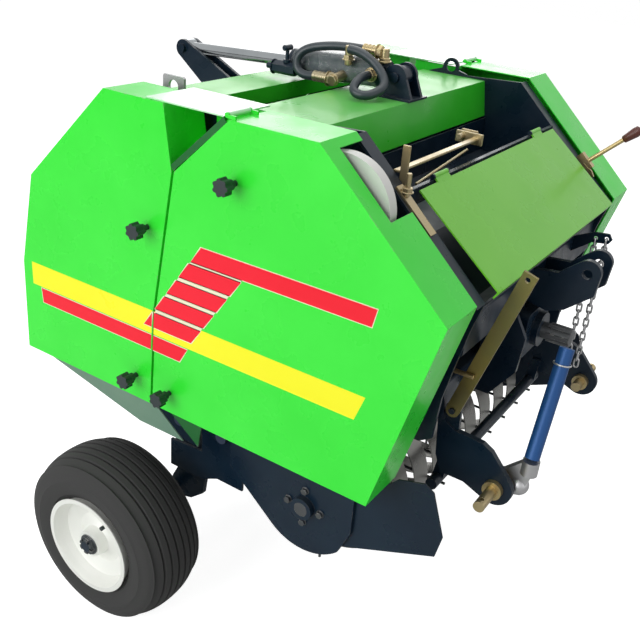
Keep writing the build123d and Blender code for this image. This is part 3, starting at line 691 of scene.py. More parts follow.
def add_rod(build: bmesh.types.BMesh, start: Point, end: Point, radius: float, ease: float = 0.8) -> None:
    """Adds a round rod with chamfered ends between two places, all in mm."""
    a, b = spot(*start), spot(*end)
    long = (b - a).length
    r, e = radius / 1000.0, ease / 1000.0
    profile = [(0.0, 0.0), (r - e, 0.0), (r, e), (r, long - e), (r - e, long), (0.0, long)]
    add_lathe(build, profile, facing(a, b - a), 24)


def tube_mesh(name: str, route: list[Point], radius: float, closed: bool = False) -> bpy.types.Mesh:
    """Sweeps a round section along a smooth spline.

    Args:
        name: Name of the mesh.
        route: The spline's control points, mm.
        radius: Radius of the section, mm.
        closed: Whether the spline is a loop.

    Returns:
        The tube's mesh.
    """
    line = bpy.data.curves.new(name, "CURVE")
    line.dimensions = "3D"
    line.bevel_depth = radius / 1000.0
    line.bevel_resolution = 5
    line.use_fill_caps = not closed
    spline = line.splines.new("NURBS")
    spline.points.add(len(route) - 1)
    for point, place in zip(spline.points, route):
        point.co = (*spot(*place), 1.0)
    spline.resolution_u = 12
    spline.order_u = 3
    if closed:
        spline.use_cyclic_u = True
    else:
        spline.use_endpoint_u = True
    holder = bpy.data.objects.new(name, line)
    mesh = bpy.data.meshes.new_from_object(holder)
    bpy.data.objects.remove(holder)
    bpy.data.curves.remove(line)
    return mesh


# ---------------------------------------------------------------- stripes


@dataclass
class SideStripes:
    """Yellow and red stripes printed across both covers of one side.

    Args:
        side: -1 for the machine's right side, 1 for its left.
        skin: Distance of the covers' outer face from the middle, mm.
        lift: Gap between the paint and the lowest film, mm.
        layer: Distance from one film to the next, mm.
        film: Thickness of a film, mm.
        seam_foot: The seam between the covers at its foot, as (x, z) in mm.
        seam_bend: The seam where it bends.
        seam_head: The seam at its top.
        seam_gap: How far a film stops short of the seam, mm.
    """

    side: int = -1
    skin: float = 490.0
    lift: float = 0.06
    layer: float = 0.22
    film: float = 0.2
    seam_foot: Flat = (0.0, 0.0)
    seam_bend: Flat = (11.0, 214.0)
    seam_head: Flat = (56.0, 493.0)
    seam_gap: float = 2.5

    def seam(self, height: float) -> float:
        """The seam's x at a height, both in mm."""
        (x0, z0), (x1, z1), (x2, z2) = self.seam_foot, self.seam_bend, self.seam_head
        if height <= z1:
            return x0 + (x1 - x0) * (height - z0) / (z1 - z0)
        return x1 + (x2 - x1) * (height - z1) / (z2 - z1)

    def halves(self, outline: list[Flat]) -> tuple[list[Flat], list[Flat]]:
        """Splits a stripe's outline at the seam.

        Args:
            outline: (x, z) corners in mm.

        Returns:
            What lies on the rear cover and what lies on the front cover.
        """
        def clip(points: list[Flat], sign: int) -> list[Flat]:
            kept: list[Flat] = []
            for (xa, za), (xb, zb) in zip(points, points[1:] + points[:1]):
                da = sign * (xa - self.seam(za)) - self.seam_gap
                db = sign * (xb - self.seam(zb)) - self.seam_gap
                if da >= 0.0:
                    kept.append((xa, za))
                if (da >= 0.0) != (db >= 0.0):
                    t = da / (da - db)
                    kept.append((xa + (xb - xa) * t, za + (zb - za) * t))
            return kept

        return clip(outline, -1), clip(outline, 1)

    def lay(self, name: str, outlines: list[list[Flat]], finish: Finish, level: int) -> None:
        """Lays one colour of film on both covers.

        Args:
            name: Name of the film.
            outlines: (x, z) outlines in mm.
            finish: Its colour.
            level: Which layer it is, 0 on the paint.
        """
        rear = bmesh.new()
        front = bmesh.new()
        base = self.skin + self.lift + self.layer * level
        lift = Vector((0.0, self.side * self.film / 1000.0, 0.0))
        for outline in outlines:
            for build, part in zip((rear, front), self.halves(outline)):
                if len(part) > 2:
                    add_slab(build, [spot(x, self.side * base, z) for x, z in part], lift)
        where = "right" if self.side < 0 else "left"
        for build, body, half in ((rear, "tailgate", "rear"), (front, "frame", "front")):
            if build.faces:
                piece(f"{name}_{half}_{where}", mesh_of(build, name), finish, body, smooth=False)
            else:
                build.free()

    def build(self) -> None:
        """Lays cream edging, yellow and red, with the edging over the yellow and the red on top."""
        yellow = [[(-333.0, 211.0), (-333.0, 161.0), (465.0, 161.0), (482.0, 211.0)]]
        red_low = [[(-307.0, 158.0), (-304.0, 126.0), (78.0, 126.0), (97.0, 158.0)]]
        red_high = [[(126.0, 373.0), (103.0, 340.0), (478.0, 340.0), (485.0, 373.0)]]
        bars: list[list[Flat]] = []
        for step in range(4):
            top = 334.0 - 42.0 * step
            foot = top - 32.0
            left = 97.5 - 29.3 * step
            bars.append([(left, top), (left - 23.0, foot), (left + 96.0, foot), (left + 119.0, top)])
        cream = [self.grown(o, 1.6) for o in red_low + red_high + bars]
        cream.append([(126.0, 373.0), (-13.4, 176.0), (105.6, 176.0), (220.0, 341.0), (220.0, 373.0)])
        self.lay("stripe_edge", cream, STRIPE_CREAM, 1)
        self.lay("stripe_yellow", yellow, STRIPE_YELLOW, 0)
        self.lay("stripe_red", red_low + red_high + bars, STRIPE_RED, 2)

    @staticmethod
    def grown(outline: list[Flat], by: float) -> list[Flat]:
        """The outline moved out on all sides by a width in mm."""
        cx = sum(p[0] for p in outline) / len(outline)
        cz = sum(p[1] for p in outline) / len(outline)
        return [(x + math.copysign(by, x - cx), z + math.copysign(by, z - cz)) for x, z in outline]


# ---------------------------------------------------------------- wheels


@dataclass
class RibbedWheel:
    """A ribbed implement tyre on a dished white rim.

    Args:
        side: -1 right, 1 left.
        radius: Outer radius, mm.
        width: Section width, mm.
        bead: Radius where the tyre meets the rim, mm.
        centre: The wheel's centre, y as on the left, mm.
        grooves: Middles of the tread's grooves, mm from its middle.
        groove_wide: Width of a groove, mm.
        groove_deep: Its depth, mm.
        groove_lip: Width of the eased lip on each side of it, mm.
        shoulder: Half width of the tread, mm.
    """

    side: int = -1
    radius: float = 200.0
    width: float = 163.0
    bead: float = 104.0
    centre: Point = (-89.0, 512.5, -350.0)
    grooves: tuple[float, ...] = (-46.0, -28.0, -9.5, 9.5, 28.0, 46.0)
    groove_wide: float = 5.0
    groove_deep: float = 6.0
    groove_lip: float = 0.8
    shoulder: float = 66.0

    def crown(self, across: float) -> float:
        """Radius of the tread at a distance from its middle, both in mm."""
        return self.radius - 0.0022 * across * across - 0.00000045 * across**4

    def tread(self) -> list[Flat]:
        """The section from bead to bead round the tread, (radius, across) in mm."""
        half = self.width / 2.0
        side: list[Flat] = [
            (self.bead, half - 23.0),
            (self.bead + 3.0, half - 16.0),
            (self.bead + 10.0, half - 10.0),
            (self.bead + 14.0, half - 8.4),
            (self.bead + 15.0, half - 6.4),
            (self.bead + 17.0, half - 6.6),
            (self.bead + 30.0, half - 2.0),
            (self.bead + 44.0, half - 0.3),
            (self.bead + 48.0, half),
            (self.bead + 50.0, half - 1.4),
            (self.bead + 60.0, half - 3.0),
            (self.bead + 68.0, half - 5.4),
            (self.bead + 74.0, half - 8.0),
            (self.bead + 76.5, half - 10.5),
            (self.bead + 81.0, half - 12.5),
        ]
        edge = self.groove_wide / 2.0
        across: list[Flat] = [(self.crown(self.shoulder) - 0.5, -self.shoulder)]
        for middle in self.grooves:
            floor = self.crown(middle) - self.groove_deep
            lips = [(edge + self.groove_lip, 0.0), (edge, 0.7)]
            across += [(self.crown(middle - reach) - drop, middle - reach) for reach, drop in lips]
            across += [(floor, middle - self.groove_wide * 0.30), (floor, middle + self.groove_wide * 0.30)]
            across += [(self.crown(middle + reach) - drop, middle + reach) for reach, drop in lips[::-1]]
        across.append((self.crown(self.shoulder) - 0.5, self.shoulder))
        return [(r, -a) for r, a in side] + across + side[::-1]

    def build(self) -> None:
        """Builds the tyre, and the hub's nut and valve."""
        x, y, z = self.centre
        place = facing(spot(x, self.side * y, z), Vector((0.0, 1.0, 0.0)))
        where = "right" if self.side < 0 else "left"
        tyre = bmesh.new()
        add_lathe(tyre, [(r / 1000.0, a / 1000.0) for r, a in self.tread()], place, 128)
        made = piece(f"ribbed_tyre_{where}", mesh_of(tyre, "ribbed_tyre"), TYRE_RUBBER, f"wheel_{where}")
        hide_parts(f"tyre_{where}")
        out = Vector((0.0, float(self.side), 0.0))
        nut = bmesh.new()
        self.castle_nut(nut, facing(spot(x, self.side * 588.3, z), out))
        piece(f"axle_nut_{where}", mesh_of(nut, "axle_nut"), DULL_STEEL, "frame")
        valve = bmesh.new()
        turn = math.radians(58.0)
        foot = spot(x + 76.0 * math.cos(turn), self.side * 556.0, z + 76.0 * math.sin(turn))
        stem = [
            (0.0, 0.0), (0.0075, 0.0), (0.0072, 0.004), (0.0050, 0.008),
            (0.0042, 0.026), (0.0046, 0.027), (0.0046, 0.034), (0.0, 0.035),
        ]
        add_lathe(valve, stem, facing(foot, out), 20)
        piece(f"tyre_valve_{where}", mesh_of(valve, "tyre_valve"), KNOB_BLACK, f"wheel_{where}")

    def castle_nut(self, build: bmesh.types.BMesh, place: Matrix) -> None:
        """A slotted nut on its washer.

        Args:
            build: The mesh being built.
            place: Foot of the washer, Z pointing out.
        """
        bore, washer, corner = 0.0128, 0.0240, 0.0215
        low, high, tooth = 0.0022, 0.0066, 0.0046
        rim = [(bore, 0.0), (washer, 0.0), (washer, 0.0016), (washer - 0.0008, low), (bore, low)]
        add_lathe(build, rim, place, 40)
        foot, head = (add_ring(build, place, corner, level, 6) for level in (low, high))
        add_band(build, foot, head)
        build.faces.new(head)
        spread = math.radians(19.0)
        section = ((0.0130, -spread), (0.0180, -spread), (0.0186, 0.0), (0.0180, spread), (0.0130, spread))
        for i in range(6):
            middle = math.pi * (i + 0.5) / 3.0
            corners = [
                place @ Vector((radius * math.cos(middle + turn), radius * math.sin(middle + turn), high))
                for radius, turn in section
            ]
            add_slab(build, corners, place.to_3x3() @ Vector((0.0, 0.0, tooth)))


# ---------------------------------------------------------------- hydraulics


@dataclass
class CylinderDress:
    """Hoses, fittings, valve and wrapping film of the tailgate cylinder.

    Args:
        hose: Radius of a hose, mm.
        base: The base pin as (x, z), mm.
        head: The rod's pin as (x, z), mm.
        film_from: Where the film starts, mm from the base pin.
        film_long: Length of the film along the barrel, mm.
        film_radius: Radius of the film, mm.
        loop: Spline points of the loop hose.
        back: Spline points of the return hose.
    """

    hose: float = 9.0
    film_from: float = 44.0
    film_long: float = 206.0
    film_radius: float = 30.2
    base: Flat = (222.0, 631.0)
    head: Flat = (-339.0, 603.0)
    loop: tuple[Point, ...] = (
        (46.0, -50.0, 607.0),
        (2.0, -50.5, 600.0),
        (-2.0, -46.0, 654.0),
        (85.0, -24.0, 674.0),
        (144.0, -18.0, 672.0),
    )
    back: tuple[Point, ...] = (
        (121.0, -42.0, 671.0),
        (162.0, -44.0, 672.0),
        (226.0, -52.0, 622.0),
        (212.0, -104.0, 600.5),
        (176.0, -112.0, 604.0),
        (172.0, -84.0, 629.0),
        (172.0, -44.4, 629.0),
    )

    def hoses(self) -> None:
        """The loop hose and the return hose."""
        for name, route in (("loop_hose", self.loop), ("return_hose", self.back)):
            piece(name, tube_mesh(name, list(route), self.hose), HOSE_RUBBER, "cylinder_barrel_body")

    def ferrule(self, build: bmesh.types.BMesh, start: Point, axis: Vector, long: float) -> None:
        """A crimped sleeve with three pressed grooves.

        Args:
            build: The mesh being built.
            start: Its open end, mm.
            axis: The way it runs.
            long: Its length, mm.
        """
        r = 0.0112
        profile: list[Flat] = [(0.0, 0.0), (r - 0.001, 0.0), (r, 0.001)]
        for share in (0.25, 0.5, 0.75):
            mid = share * long / 1000.0
            profile += [(r, mid - 0.003), (r - 0.0012, mid - 0.0018), (r - 0.0012, mid + 0.0018), (r, mid + 0.003)]
        profile += [(r, long / 1000.0 - 0.001), (r - 0.001, long / 1000.0), (0.0, long / 1000.0)]
        add_lathe(build, profile, facing(spot(*start), axis), 32)

    def fittings(self) -> None:
        """Ferrules, nuts and ports in gold zinc."""
        build = bmesh.new()
        ahead = Vector((1.0, 0.0, 0.0))
        self.ferrule(build, (46.5, -50.0, 608.0), ahead, 37.0)
        add_hex(build, facing(spot(82.0, -50.0, 608.0), ahead), 0.024, 0.012)
        add_rod(build, (102.0, -64.0, 610.0), (102.0, -24.0, 616.0), 10.5, 1.5)
        add_hex(build, facing(spot(102.0, -62.0, 610.3), Vector((0.0, -1.0, -0.15))), 0.019, 0.006)
        self.ferrule(build, (141.0, -18.0, 673.0), ahead, 34.0)
        add_hex(build, facing(spot(173.0, -18.0, 673.0), ahead), 0.022, 0.010)
        add_rod(build, (189.0, -16.0, 652.0), (189.0, -16.0, 681.0), 9.0, 1.5)
        add_hex(build, facing(spot(189.0, -16.0, 655.5), Vector((0.0, 0.0, 1.0))), 0.022, 0.006)
        add_rod(build, (119.0, -38.0, 640.0), (119.0, -40.0, 678.0), 8.0, 1.5)
        add_hex(build, facing(spot(119.0, -38.5, 650.0), Vector((0.0, 0.0, 1.0))), 0.020, 0.007)
        add_rod(build, (172.0, -46.0, 629.0), (172.0, -26.0, 629.0), 11.5, 1.5)
        add_hex(build, facing(spot(172.0, -34.0, 629.0), Vector((0.0, -1.0, 0.0))), 0.022, 0.008)
        piece("hose_fittings", mesh_of(build, "hose_fittings"), GOLD_ZINC, "cylinder_barrel_body")

    def valve(self) -> None:
        """The six-sided shut-off valve with its T handle."""
        build = bmesh.new()
        ahead = Vector((1.0, 0.0, 0.0))
        add_hex(build, facing(spot(-62.0, -42.5, 609.0), ahead), 0.024, 0.056)
        add_rod(build, (-79.0, -42.5, 609.0), (-60.0, -42.5, 609.0), 6.5, 1.0)
        add_rod(build, (-29.0, -42.5, 615.0), (-29.0, -42.5, 650.0), 4.0)
        add_rod(build, (-29.0, -42.5, 621.0), (-29.0, -42.5, 628.0), 8.0)
        add_rod(build, (-29.0, -56.0, 652.0), (-29.0, -29.0, 652.0), 6.0, 2.0)
        piece("cylinder_valve", mesh_of(build, "cylinder_valve"), FRAME_PAINT, "cylinder_barrel_body")

    def film(self) -> None:
        """Clear film wound round the barrel, in uneven turns."""
        base = spot(self.base[0], 0.0, self.base[1])
        way = (spot(self.head[0], 0.0, self.head[1]) - base).normalized()
        place = facing(base, way)
        profile: list[Flat] = []
        rounds = 48
        for i in range(rounds):
            along = (self.film_from + self.film_long * i / (rounds - 1)) / 1000.0
            swell = 0.0009 * math.sin(i * 1.7) + 0.0006 * math.sin(i * 3.1 + 1.0)
            profile.append((self.film_radius / 1000.0 + swell, along))
        build = bmesh.new()
        add_lathe(build, profile, place, 40)
        for i, vert in enumerate(build.verts):
            local = place.inverted() @ vert.co
            out = Vector((local.x, local.y, 0.0)).normalized()
            lift = 0.0007 * math.sin(i * 0.9) + 0.0005 * math.sin(i * 2.3)
            vert.co = place @ (local + out * lift)
        mesh = mesh_of(build, "cylinder_film")
        made = piece("cylinder_film", mesh, HOSE_RUBBER, "cylinder_barrel_body")
        made.data.materials.clear()
        made.data.materials.append(ClearFilm().make())

    def build(self) -> None:
        """Dresses the whole cylinder."""
        self.hoses()
        self.fittings()
        self.valve()
        self.film()


# ---------------------------------------------------------------- small iron


@dataclass
class HitchChain:
    """Two runs of the stay chain on their lug.

    Args:
        level: The lug's middle plane, mm.
        wire: Radius of a link's wire, mm.
        long: Length of a link, mm.
        wide: Width of a link, mm.
        play: How much closer than touching two links hang, mm.
        holes: The lug's holes as (x, z), mm.
        counts: How many links hang from each hole.
    """

    level: float = 200.0
    wire: float = 2.1
    long: float = 26.0
    wide: float = 14.5
    play: float = 0.6
    holes: tuple[Flat, ...] = ((648.0, 346.0), (626.0, 342.0))
    counts: tuple[int, ...] = (18, 16)

    def lug(self) -> None:
        """The lug on the upper beam."""
        build = bmesh.new()
        outer = [
            (580.0, 300.0), (580.0, 334.0), (620.0, 354.0), (652.0, 358.0),
            (660.0, 346.0), (654.0, 336.0), (620.0, 331.0),
        ]
        half, hole = 2.5, 4.6
        add_plate(build, outer, self.level - half, self.level + half, [ring_loop(x, z, hole) for x, z in self.holes])
        piece("chain_lug", mesh_of(build, "chain_lug"), FRAME_PAINT, "frame")

    def links(self) -> None:
        """The links, each turned a quarter from the last."""
        build = bmesh.new()
        bend = self.wide / 2.0 - self.wire
        reach = self.long / 2.0 - self.wire
        pitch = self.long - 4.0 * self.wire - self.play
        flats = []
        for k in range(16):
            turn = 2.0 * math.pi * k / 16.0
            shift = reach - bend if math.sin(turn) > 0.0 else bend - reach
            flats.append((bend * math.cos(turn), shift + bend * math.sin(turn)))
        for (x, z), count in zip(self.holes, self.counts):
            top = z + self.wire - self.long / 2.0
            for i in range(count):
                mid = top - i * pitch
                if i % 2 == 0:
                    route = [(x, self.level + a, mid + b) for a, b in flats]
                else:
                    route = [(x + a, self.level, mid + b) for a, b in flats]
                mesh = tube_mesh("link", route, self.wire, closed=True)
                build.from_mesh(mesh)
                bpy.data.meshes.remove(mesh)
        piece("hitch_chain", mesh_of(build, "hitch_chain"), BARE_STEEL, "frame")

    def build(self) -> None:
        """Hangs the chain."""
        self.lug()
        self.links()


@dataclass
class TwineGear:
    """Twine arm, knife bracket and the slide on the right flange."""

    def build(self) -> None:
        """Builds the gear in gold zinc."""
        build = bmesh.new()
        add_block(build, (425.5, -341.4, 546.0), (14.0, 4.0, 94.0))
        add_block(build, (412.5, -173.0, 548.0), (13.0, 338.0, 4.0))
        add_block(build, (400.0, -30.0, 548.0), (56.0, 5.0, 22.0))
        add_block(build, (392.0, -12.0, 552.0), (34.0, 5.0, 14.0))
        add_block(build, (400.0, -20.0, 542.0), (26.0, 26.0, 4.0))
        add_rod(build, (386.0, -50.0, 550.0), (386.0, -10.0, 550.0), 6.0)
        add_plate(build, [(428.0, 529.7), (500.0, 464.5), (502.7, 467.5), (430.7, 532.7)], -352.0, -372.0)
        add_rod(build, (446.0, -362.0, 517.0), (446.0, -362.0, 556.0), 4.5)
        add_hex(build, facing(spot(446.0, -362.0, 524.0), Vector((0.0, 0.0, 1.0))), 0.016, 0.007)
        add_rod(build, (400.0, -237.0, 500.0), (362.0, 61.0, 500.0), 3.0)
        piece("twine_gear", mesh_of(build, "twine_gear"), GOLD_ZINC, "frame")


@dataclass
class HandLever:
    """The lever in its clamp on the left flange."""

    def build(self) -> None:
        """Builds clamp, rod and moulded grip."""
        build = bmesh.new()
        add_plate(build, [(504.2, 460.9), (534.2, 433.7), (545.0, 445.6), (515.0, 472.8)], 376.0, 360.0)
        add_plate(
            build,
            [(520.2, 446.4), (548.2, 421.0), (552.0, 425.2), (545.0, 437.0), (534.0, 443.0), (524.0, 450.6)],
            364.0,
            359.0,
        )
        add_rod(build, (526.0, 368.0, 452.0), (600.0, 384.0, 522.0), 5.0)
        piece("hand_lever", mesh_of(build, "hand_lever"), GOLD_ZINC, "frame")
        grip = bmesh.new()
        a, b = spot(592.0, 382.3, 514.4), spot(622.0, 388.8, 542.8)
        long = (b - a).length
        profile = [
            (0.0, 0.0), (0.007, 0.0), (0.0085, 0.002), (0.0095, 0.3 * long), (0.0115, 0.7 * long),
            (0.0105, 0.92 * long), (0.006, long), (0.0, long),
        ]
        add_lathe(grip, profile, facing(a, b - a), 28)
        piece("hand_lever_grip", mesh_of(grip, "hand_lever_grip"), GRIP_BROWN, "frame")


@dataclass
class Skirts:
    """Flat skirts inside the lower edges of the side covers.

    Args:
        side: -1 right, 1 left.
        rear_level: Distance of the rear skirt from the middle, mm.
        front_level: Distance of the front skirt from the middle, mm.
        sheet: Their thickness, mm.
        hole: Radius of the front skirt's hole, mm.
    """

    side: int = -1
    rear_level: float = 468.7
    front_level: float = 459.0
    sheet: float = 2.5
    hole: float = 5.4

    def build(self) -> None:
        """Builds the grey rear skirt and the green front one."""
        where = "right" if self.side < 0 else "left"
        rear = bmesh.new()
        outer = [
            (-360.1, 40.0), (-360.8, 2.0), (-313.0, -16.0), (-47.0, -72.0),
            (72.0, -70.0), (-2.0, -15.0), (-2.0, 40.0),
        ]
        add_plate(rear, outer, self.side * self.rear_level, self.side * (self.rear_level + self.sheet))
        # The rear skirt's grey-green is painted shade and reflected light.
        piece(f"tail_skirt_{where}", mesh_of(rear, "tail_skirt"), SKIRT_SHADE_AND_SHEEN_GREY, "tailgate")
        front = bmesh.new()
        near, far = self.side * self.front_level, self.side * (self.front_level + self.sheet)
        outer = [(14.0, 62.0), (110.0, 62.0), (110.0, -30.0), (103.0, -75.0), (14.0, -14.0)]
        add_plate(front, outer, near, far, [ring_loop(52.0, 45.0, self.hole)])
        piece(f"front_skirt_{where}", mesh_of(front, "front_skirt"), DARK_GREEN_PAINT, "frame")


@dataclass
class LiftingPoints:
    """Lifting eye on the left frame plate and lifting bracket on the right tail plate.

    Args:
        inner: Distance of their inner face from the middle, mm.
        outer: Distance of their outer face from the middle, mm.
        hole: Radius of their holes, mm.
        crown: Radius of the eye's round head, mm.
        centre: The eye's hole as (x, z), mm.
    """

    inner: float = 344.2
    outer: float = 350.2
    hole: float = 12.0
    crown: float = 20.0
    centre: Flat = (172.0, 608.0)

    def build(self) -> None:
        """Builds the eye and the bracket."""
        eye = bmesh.new()
        head = ring_loop(*self.centre, self.crown)[:13]
        foot = [(118.0, 570.0), (214.0, 570.0), (214.0, 596.0), (192.0, 602.0)]
        outline = foot + head + [(150.0, 602.0), (118.0, 592.0)]
        add_plate(eye, outline, self.inner, self.outer, [ring_loop(*self.centre, self.hole)])
        piece("lifting_eye_left", mesh_of(eye, "lifting_eye"), FRAME_PAINT, "frame")
        bracket = bmesh.new()
        outline = [(-94.0, 578.0), (-42.0, 578.0), (-42.0, 618.0), (-45.0, 621.0), (-91.0, 621.0), (-94.0, 618.0)]
        add_plate(bracket, outline, -self.inner, -self.outer, [ring_loop(-68.0, 601.0, self.hole)])
        # The bracket's light bare-steel grey is a painted highlight: a painted bracket lit to near white.
        piece("lifting_bracket_right", mesh_of(bracket, "lifting_bracket"), BARE_STEEL, "tailgate")


@dataclass
class CutCorner:
    """The strip, dark green as painted shade, and the recessed panel behind the cut corner of a front cover.

    Args:
        side: -1 right, 1 left.
        strip: Width of the strip, mm.
        lip: Thickness of its turned edge, mm.
        foot: Lower end of the cut as (x, z), mm.
        head: Upper end of the cut.
    """

    side: int = -1
    strip: float = 11.0
    lip: float = 2.0
    foot: Flat = (60.0, 496.6)
    head: Flat = (173.0, 601.6)

    def build(self) -> None:
        """Builds the strip and the panel."""
        where = "right" if self.side < 0 else "left"
        (xa, za), (xb, zb) = self.foot, self.head
        long = math.hypot(xb - xa, zb - za)
        nx, nz = -(zb - za) / long, (xb - xa) / long

        def edge(out: float) -> list[Flat]:
            """The cut's two ends, moved out square to it by a distance in mm."""
            return [(xa + nx * out, za + nz * out), (xb + nx * out, zb + nz * out)]

        build = bmesh.new()
        far = edge(self.strip)[::-1]
        add_plate(build, edge(0.0) + far, self.side * 488.6, self.side * 486.6)
        add_plate(build, edge(self.strip - self.lip) + far, self.side * 486.7, self.side * 470.0)
        # The strip's dark green is painted shade: it gives the dark band along the cut.
        piece(f"cut_strip_painted_shade_{where}", mesh_of(build, "cut_strip_painted_shade"), DARK_GREEN_PAINT, "frame")
        panel = bmesh.new()
        add_plate(panel, [(62.0, 496.0), (186.0, 604.0), (62.0, 604.0)], self.side * 379.0, self.side * 377.2)
        piece(f"recess_panel_{where}", mesh_of(panel, "recess_panel"), COVER_PAINT, "frame")


@dataclass
class SmallFasteners:
    """The pickup's bolt heads, the lever's cross pin and the link's wire clip."""

    def bolts(self) -> None:
        """Hexagon heads on the pickup plates."""
        build = bmesh.new()
        for side in (-1, 1):
            out = Vector((0.0, float(side), 0.0))
            for x, z in ((337.0, -99.0), (299.0, -137.0), (375.0, -137.0), (337.0, -175.0), (196.0, -40.0)):
                add_hex(build, facing(spot(x, side * 412.0, z), out), 0.013, 0.006)
        piece("pickup_bolts", mesh_of(build, "pickup_bolts"), DULL_STEEL, "frame")

    def pin(self) -> None:
        """The cross pin through the trip lever."""
        build = bmesh.new()
        add_rod(build, (538.0, -272.0, 192.0), (582.0, -272.0, 192.0), 4.5)
        piece("lever_pin", mesh_of(build, "lever_pin"), GOLD_ZINC, "trip_lever_body")

    def clip(self) -> None:
        """The wire ring clip round the top of the link."""
        foot, head = Vector((706.0, -235.0, 52.0)), Vector((704.0, -160.0, 251.0))
        way = (head - foot).normalized()
        side = way.cross(Vector((1.0, 0.0, 0.0))).normalized()
        ahead = side.cross(way)
        centre = foot + (head - foot) * 0.86
        route = []
        for i in range(16):
            turn = 2.0 * math.pi * i / 16.0
            place = centre + (side * math.cos(turn) + ahead * math.sin(turn)) * 16.2 + way * (2.5 * math.cos(turn))
            route.append((place.x, place.y, place.z))
        build = bmesh.new()
        mesh = tube_mesh("clip", route, 1.6, closed=True)
        build.from_mesh(mesh)
        bpy.data.meshes.remove(mesh)
        piece("link_clip", mesh_of(build, "link_clip"), BARE_STEEL, "top_link_body")

    def build(self) -> None:
        """Builds them all."""
        self.bolts()
        self.pin()
        self.clip()


# ---------------------------------------------------------------- stage


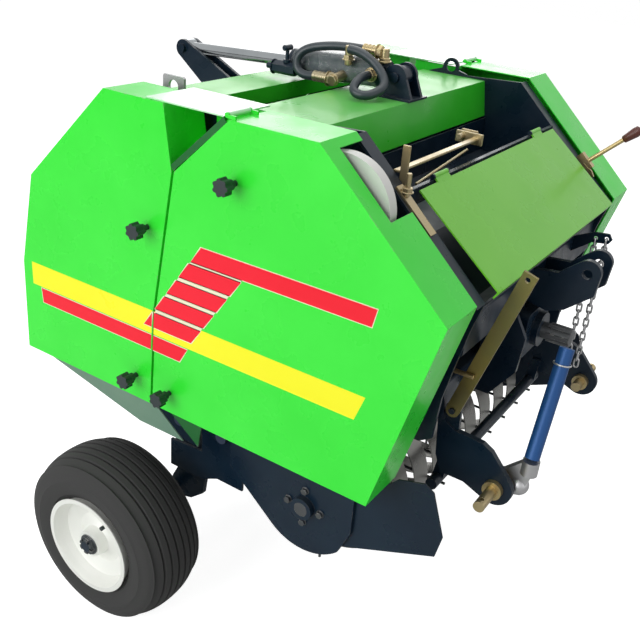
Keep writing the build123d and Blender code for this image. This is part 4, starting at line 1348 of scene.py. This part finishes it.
@dataclass
class Studio:
    """The pale floor, lamps and camera.

    Args:
        eye: Where the camera stands, metres.
        right: The picture's right in the row frame.
        down: The picture's down in the row frame; not used.
        ahead: The way the camera looks.
        lens: Focal length for a 36 mm frame.
        reach: Half the floor's width, metres.
        lamps: Name, place, aim, size in metres and watts of each lamp.
    """

    eye: Point = (0.8420, -1.5399, 1.4803)
    right: Point = (0.830, 0.551, 0.081)
    down: Point = (0.307, -0.332, -0.892)
    ahead: Point = (-0.465, 0.765, -0.445)
    lens: float = 47.16
    reach: float = 14.0
    lamps: list[tuple[str, Point, Point, float, float]] = field(
        default_factory=lambda: [
            ("key", (-0.9, -4.3, 2.2), (0.0, 0.0, 0.55), 3.2, 128.0),
            ("fill", (4.2, -0.8, 2.0), (0.0, 0.0, 0.6), 3.0, 13.0),
            ("sky", (-0.4, 0.4, 4.6), (0.0, 0.0, 0.6), 3.6, 52.0),
            ("back", (-2.0, 3.6, 2.2), (0.0, 0.0, 0.7), 2.6, 40.0),
        ]
    )

    @staticmethod
    def rays(wiring: Wiring, *kinds: str) -> Socket:
        """Tells rays of some kinds from the rest.

        Args:
            wiring: The wiring that asks.
            kinds: The kinds, as Blender's light path names them.

        Returns:
            1 for a ray of one of the kinds, 0 for any other.
        """
        path = wiring.add("LightPath", {})
        hit = path.outputs[f"Is {kinds[0]} Ray"]
        for kind in kinds[1:]:
            hit = wiring.join("MAXIMUM", hit, path.outputs[f"Is {kind} Ray"])
        return hit

    def floor(self) -> None:
        """A wide pale floor that keeps a soft shadow."""
        build = bmesh.new()
        corners = ((-1.0, -1.0), (1.0, -1.0), (1.0, 1.0), (-1.0, 1.0))
        build.faces.new([build.verts.new(Vector((x, y, 0.0)) * self.reach) for x, y in corners])
        mesh = bpy.data.meshes.new("floor")
        build.to_mesh(mesh)
        build.free()
        ground = bpy.data.objects.new("floor", mesh)
        bpy.context.scene.collection.objects.link(ground)
        paint = bpy.data.materials.new("floor_pale")
        wiring = Wiring.fresh(paint)
        dull = wiring.add("BsdfDiffuse", {"Color": (0.80, 0.80, 0.80, 1.0)})
        lit = wiring.join("MULTIPLY", self.rays(wiring, "Camera", "Transmission"), 0.80)
        glow = wiring.add("Emission", {"Color": (1.0, 1.0, 1.0, 1.0), "Strength": lit})
        both = wiring.add("AddShader", {0: dull.outputs["BSDF"], 1: glow.outputs["Emission"]})
        wiring.add("OutputMaterial", {"Surface": both.outputs["Shader"]})
        mesh.materials.append(paint)

    def world(self) -> None:
        """A white surround for the camera and for gloss, softer as light."""
        world = bpy.data.worlds.new("surround")
        bpy.context.scene.world = world
        wiring = Wiring.fresh(world)
        level = wiring.remap(self.rays(wiring, "Camera", "Transmission", "Glossy"), 0.0, 1.0, 0.30, 1.0)
        back = wiring.add("Background", {"Color": (1.0, 1.0, 1.0, 1.0), "Strength": level})
        wiring.add("OutputWorld", {"Surface": back.outputs["Background"]})

    def light(self) -> None:
        """Large soft lamps aimed at the object."""
        for name, where, at, size, watts in self.lamps:
            lamp = bpy.data.lights.new(name, "AREA")
            lamp.shape = "SQUARE"
            lamp.size = size
            lamp.energy = watts
            body = bpy.data.objects.new(name, lamp)
            body.matrix_world = facing(Vector(where), Vector(where) - Vector(at))
            body.visible_camera = False
            bpy.context.scene.collection.objects.link(body)

    def camera(self) -> None:
        """The camera at the photograph's place."""
        lens = bpy.data.cameras.new("camera")
        lens.lens = self.lens
        lens.sensor_width = 36.0
        lens.sensor_fit = "HORIZONTAL"
        lens.clip_start = 0.05
        body = bpy.data.objects.new("camera", lens)
        right = Vector(self.right).normalized()
        back = -Vector(self.ahead).normalized()
        up = back.cross(right).normalized()
        right = up.cross(back)
        turn = Matrix((right, up, back)).transposed().to_4x4()
        body.matrix_world = Matrix.Translation(Vector(self.eye)) @ turn
        bpy.context.scene.collection.objects.link(body)
        bpy.context.scene.camera = body

    def build(self) -> None:
        """Sets the whole stage."""
        bpy.context.scene.view_settings.view_transform = "Standard"
        self.floor()
        self.world()
        self.light()
        self.camera()


def write_sizes() -> None:
    """Updates the view layer."""
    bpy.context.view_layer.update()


def main() -> None:
    """Dresses the frame and builds every piece in order."""
    logging.basicConfig(level=logging.INFO, format="%(name)s %(message)s")
    dress_nodes()
    for side in (-1, 1):
        SideStripes(side=side).build()
        RibbedWheel(side=side).build()
        Skirts(side=side).build()
        CutCorner(side=side).build()
    CylinderDress().build()
    LiftingPoints().build()
    SmallFasteners().build()
    HitchChain().build()
    TwineGear().build()
    HandLever().build()
    Studio().build()
    write_sizes()


if __name__ == "__main__":
    main()
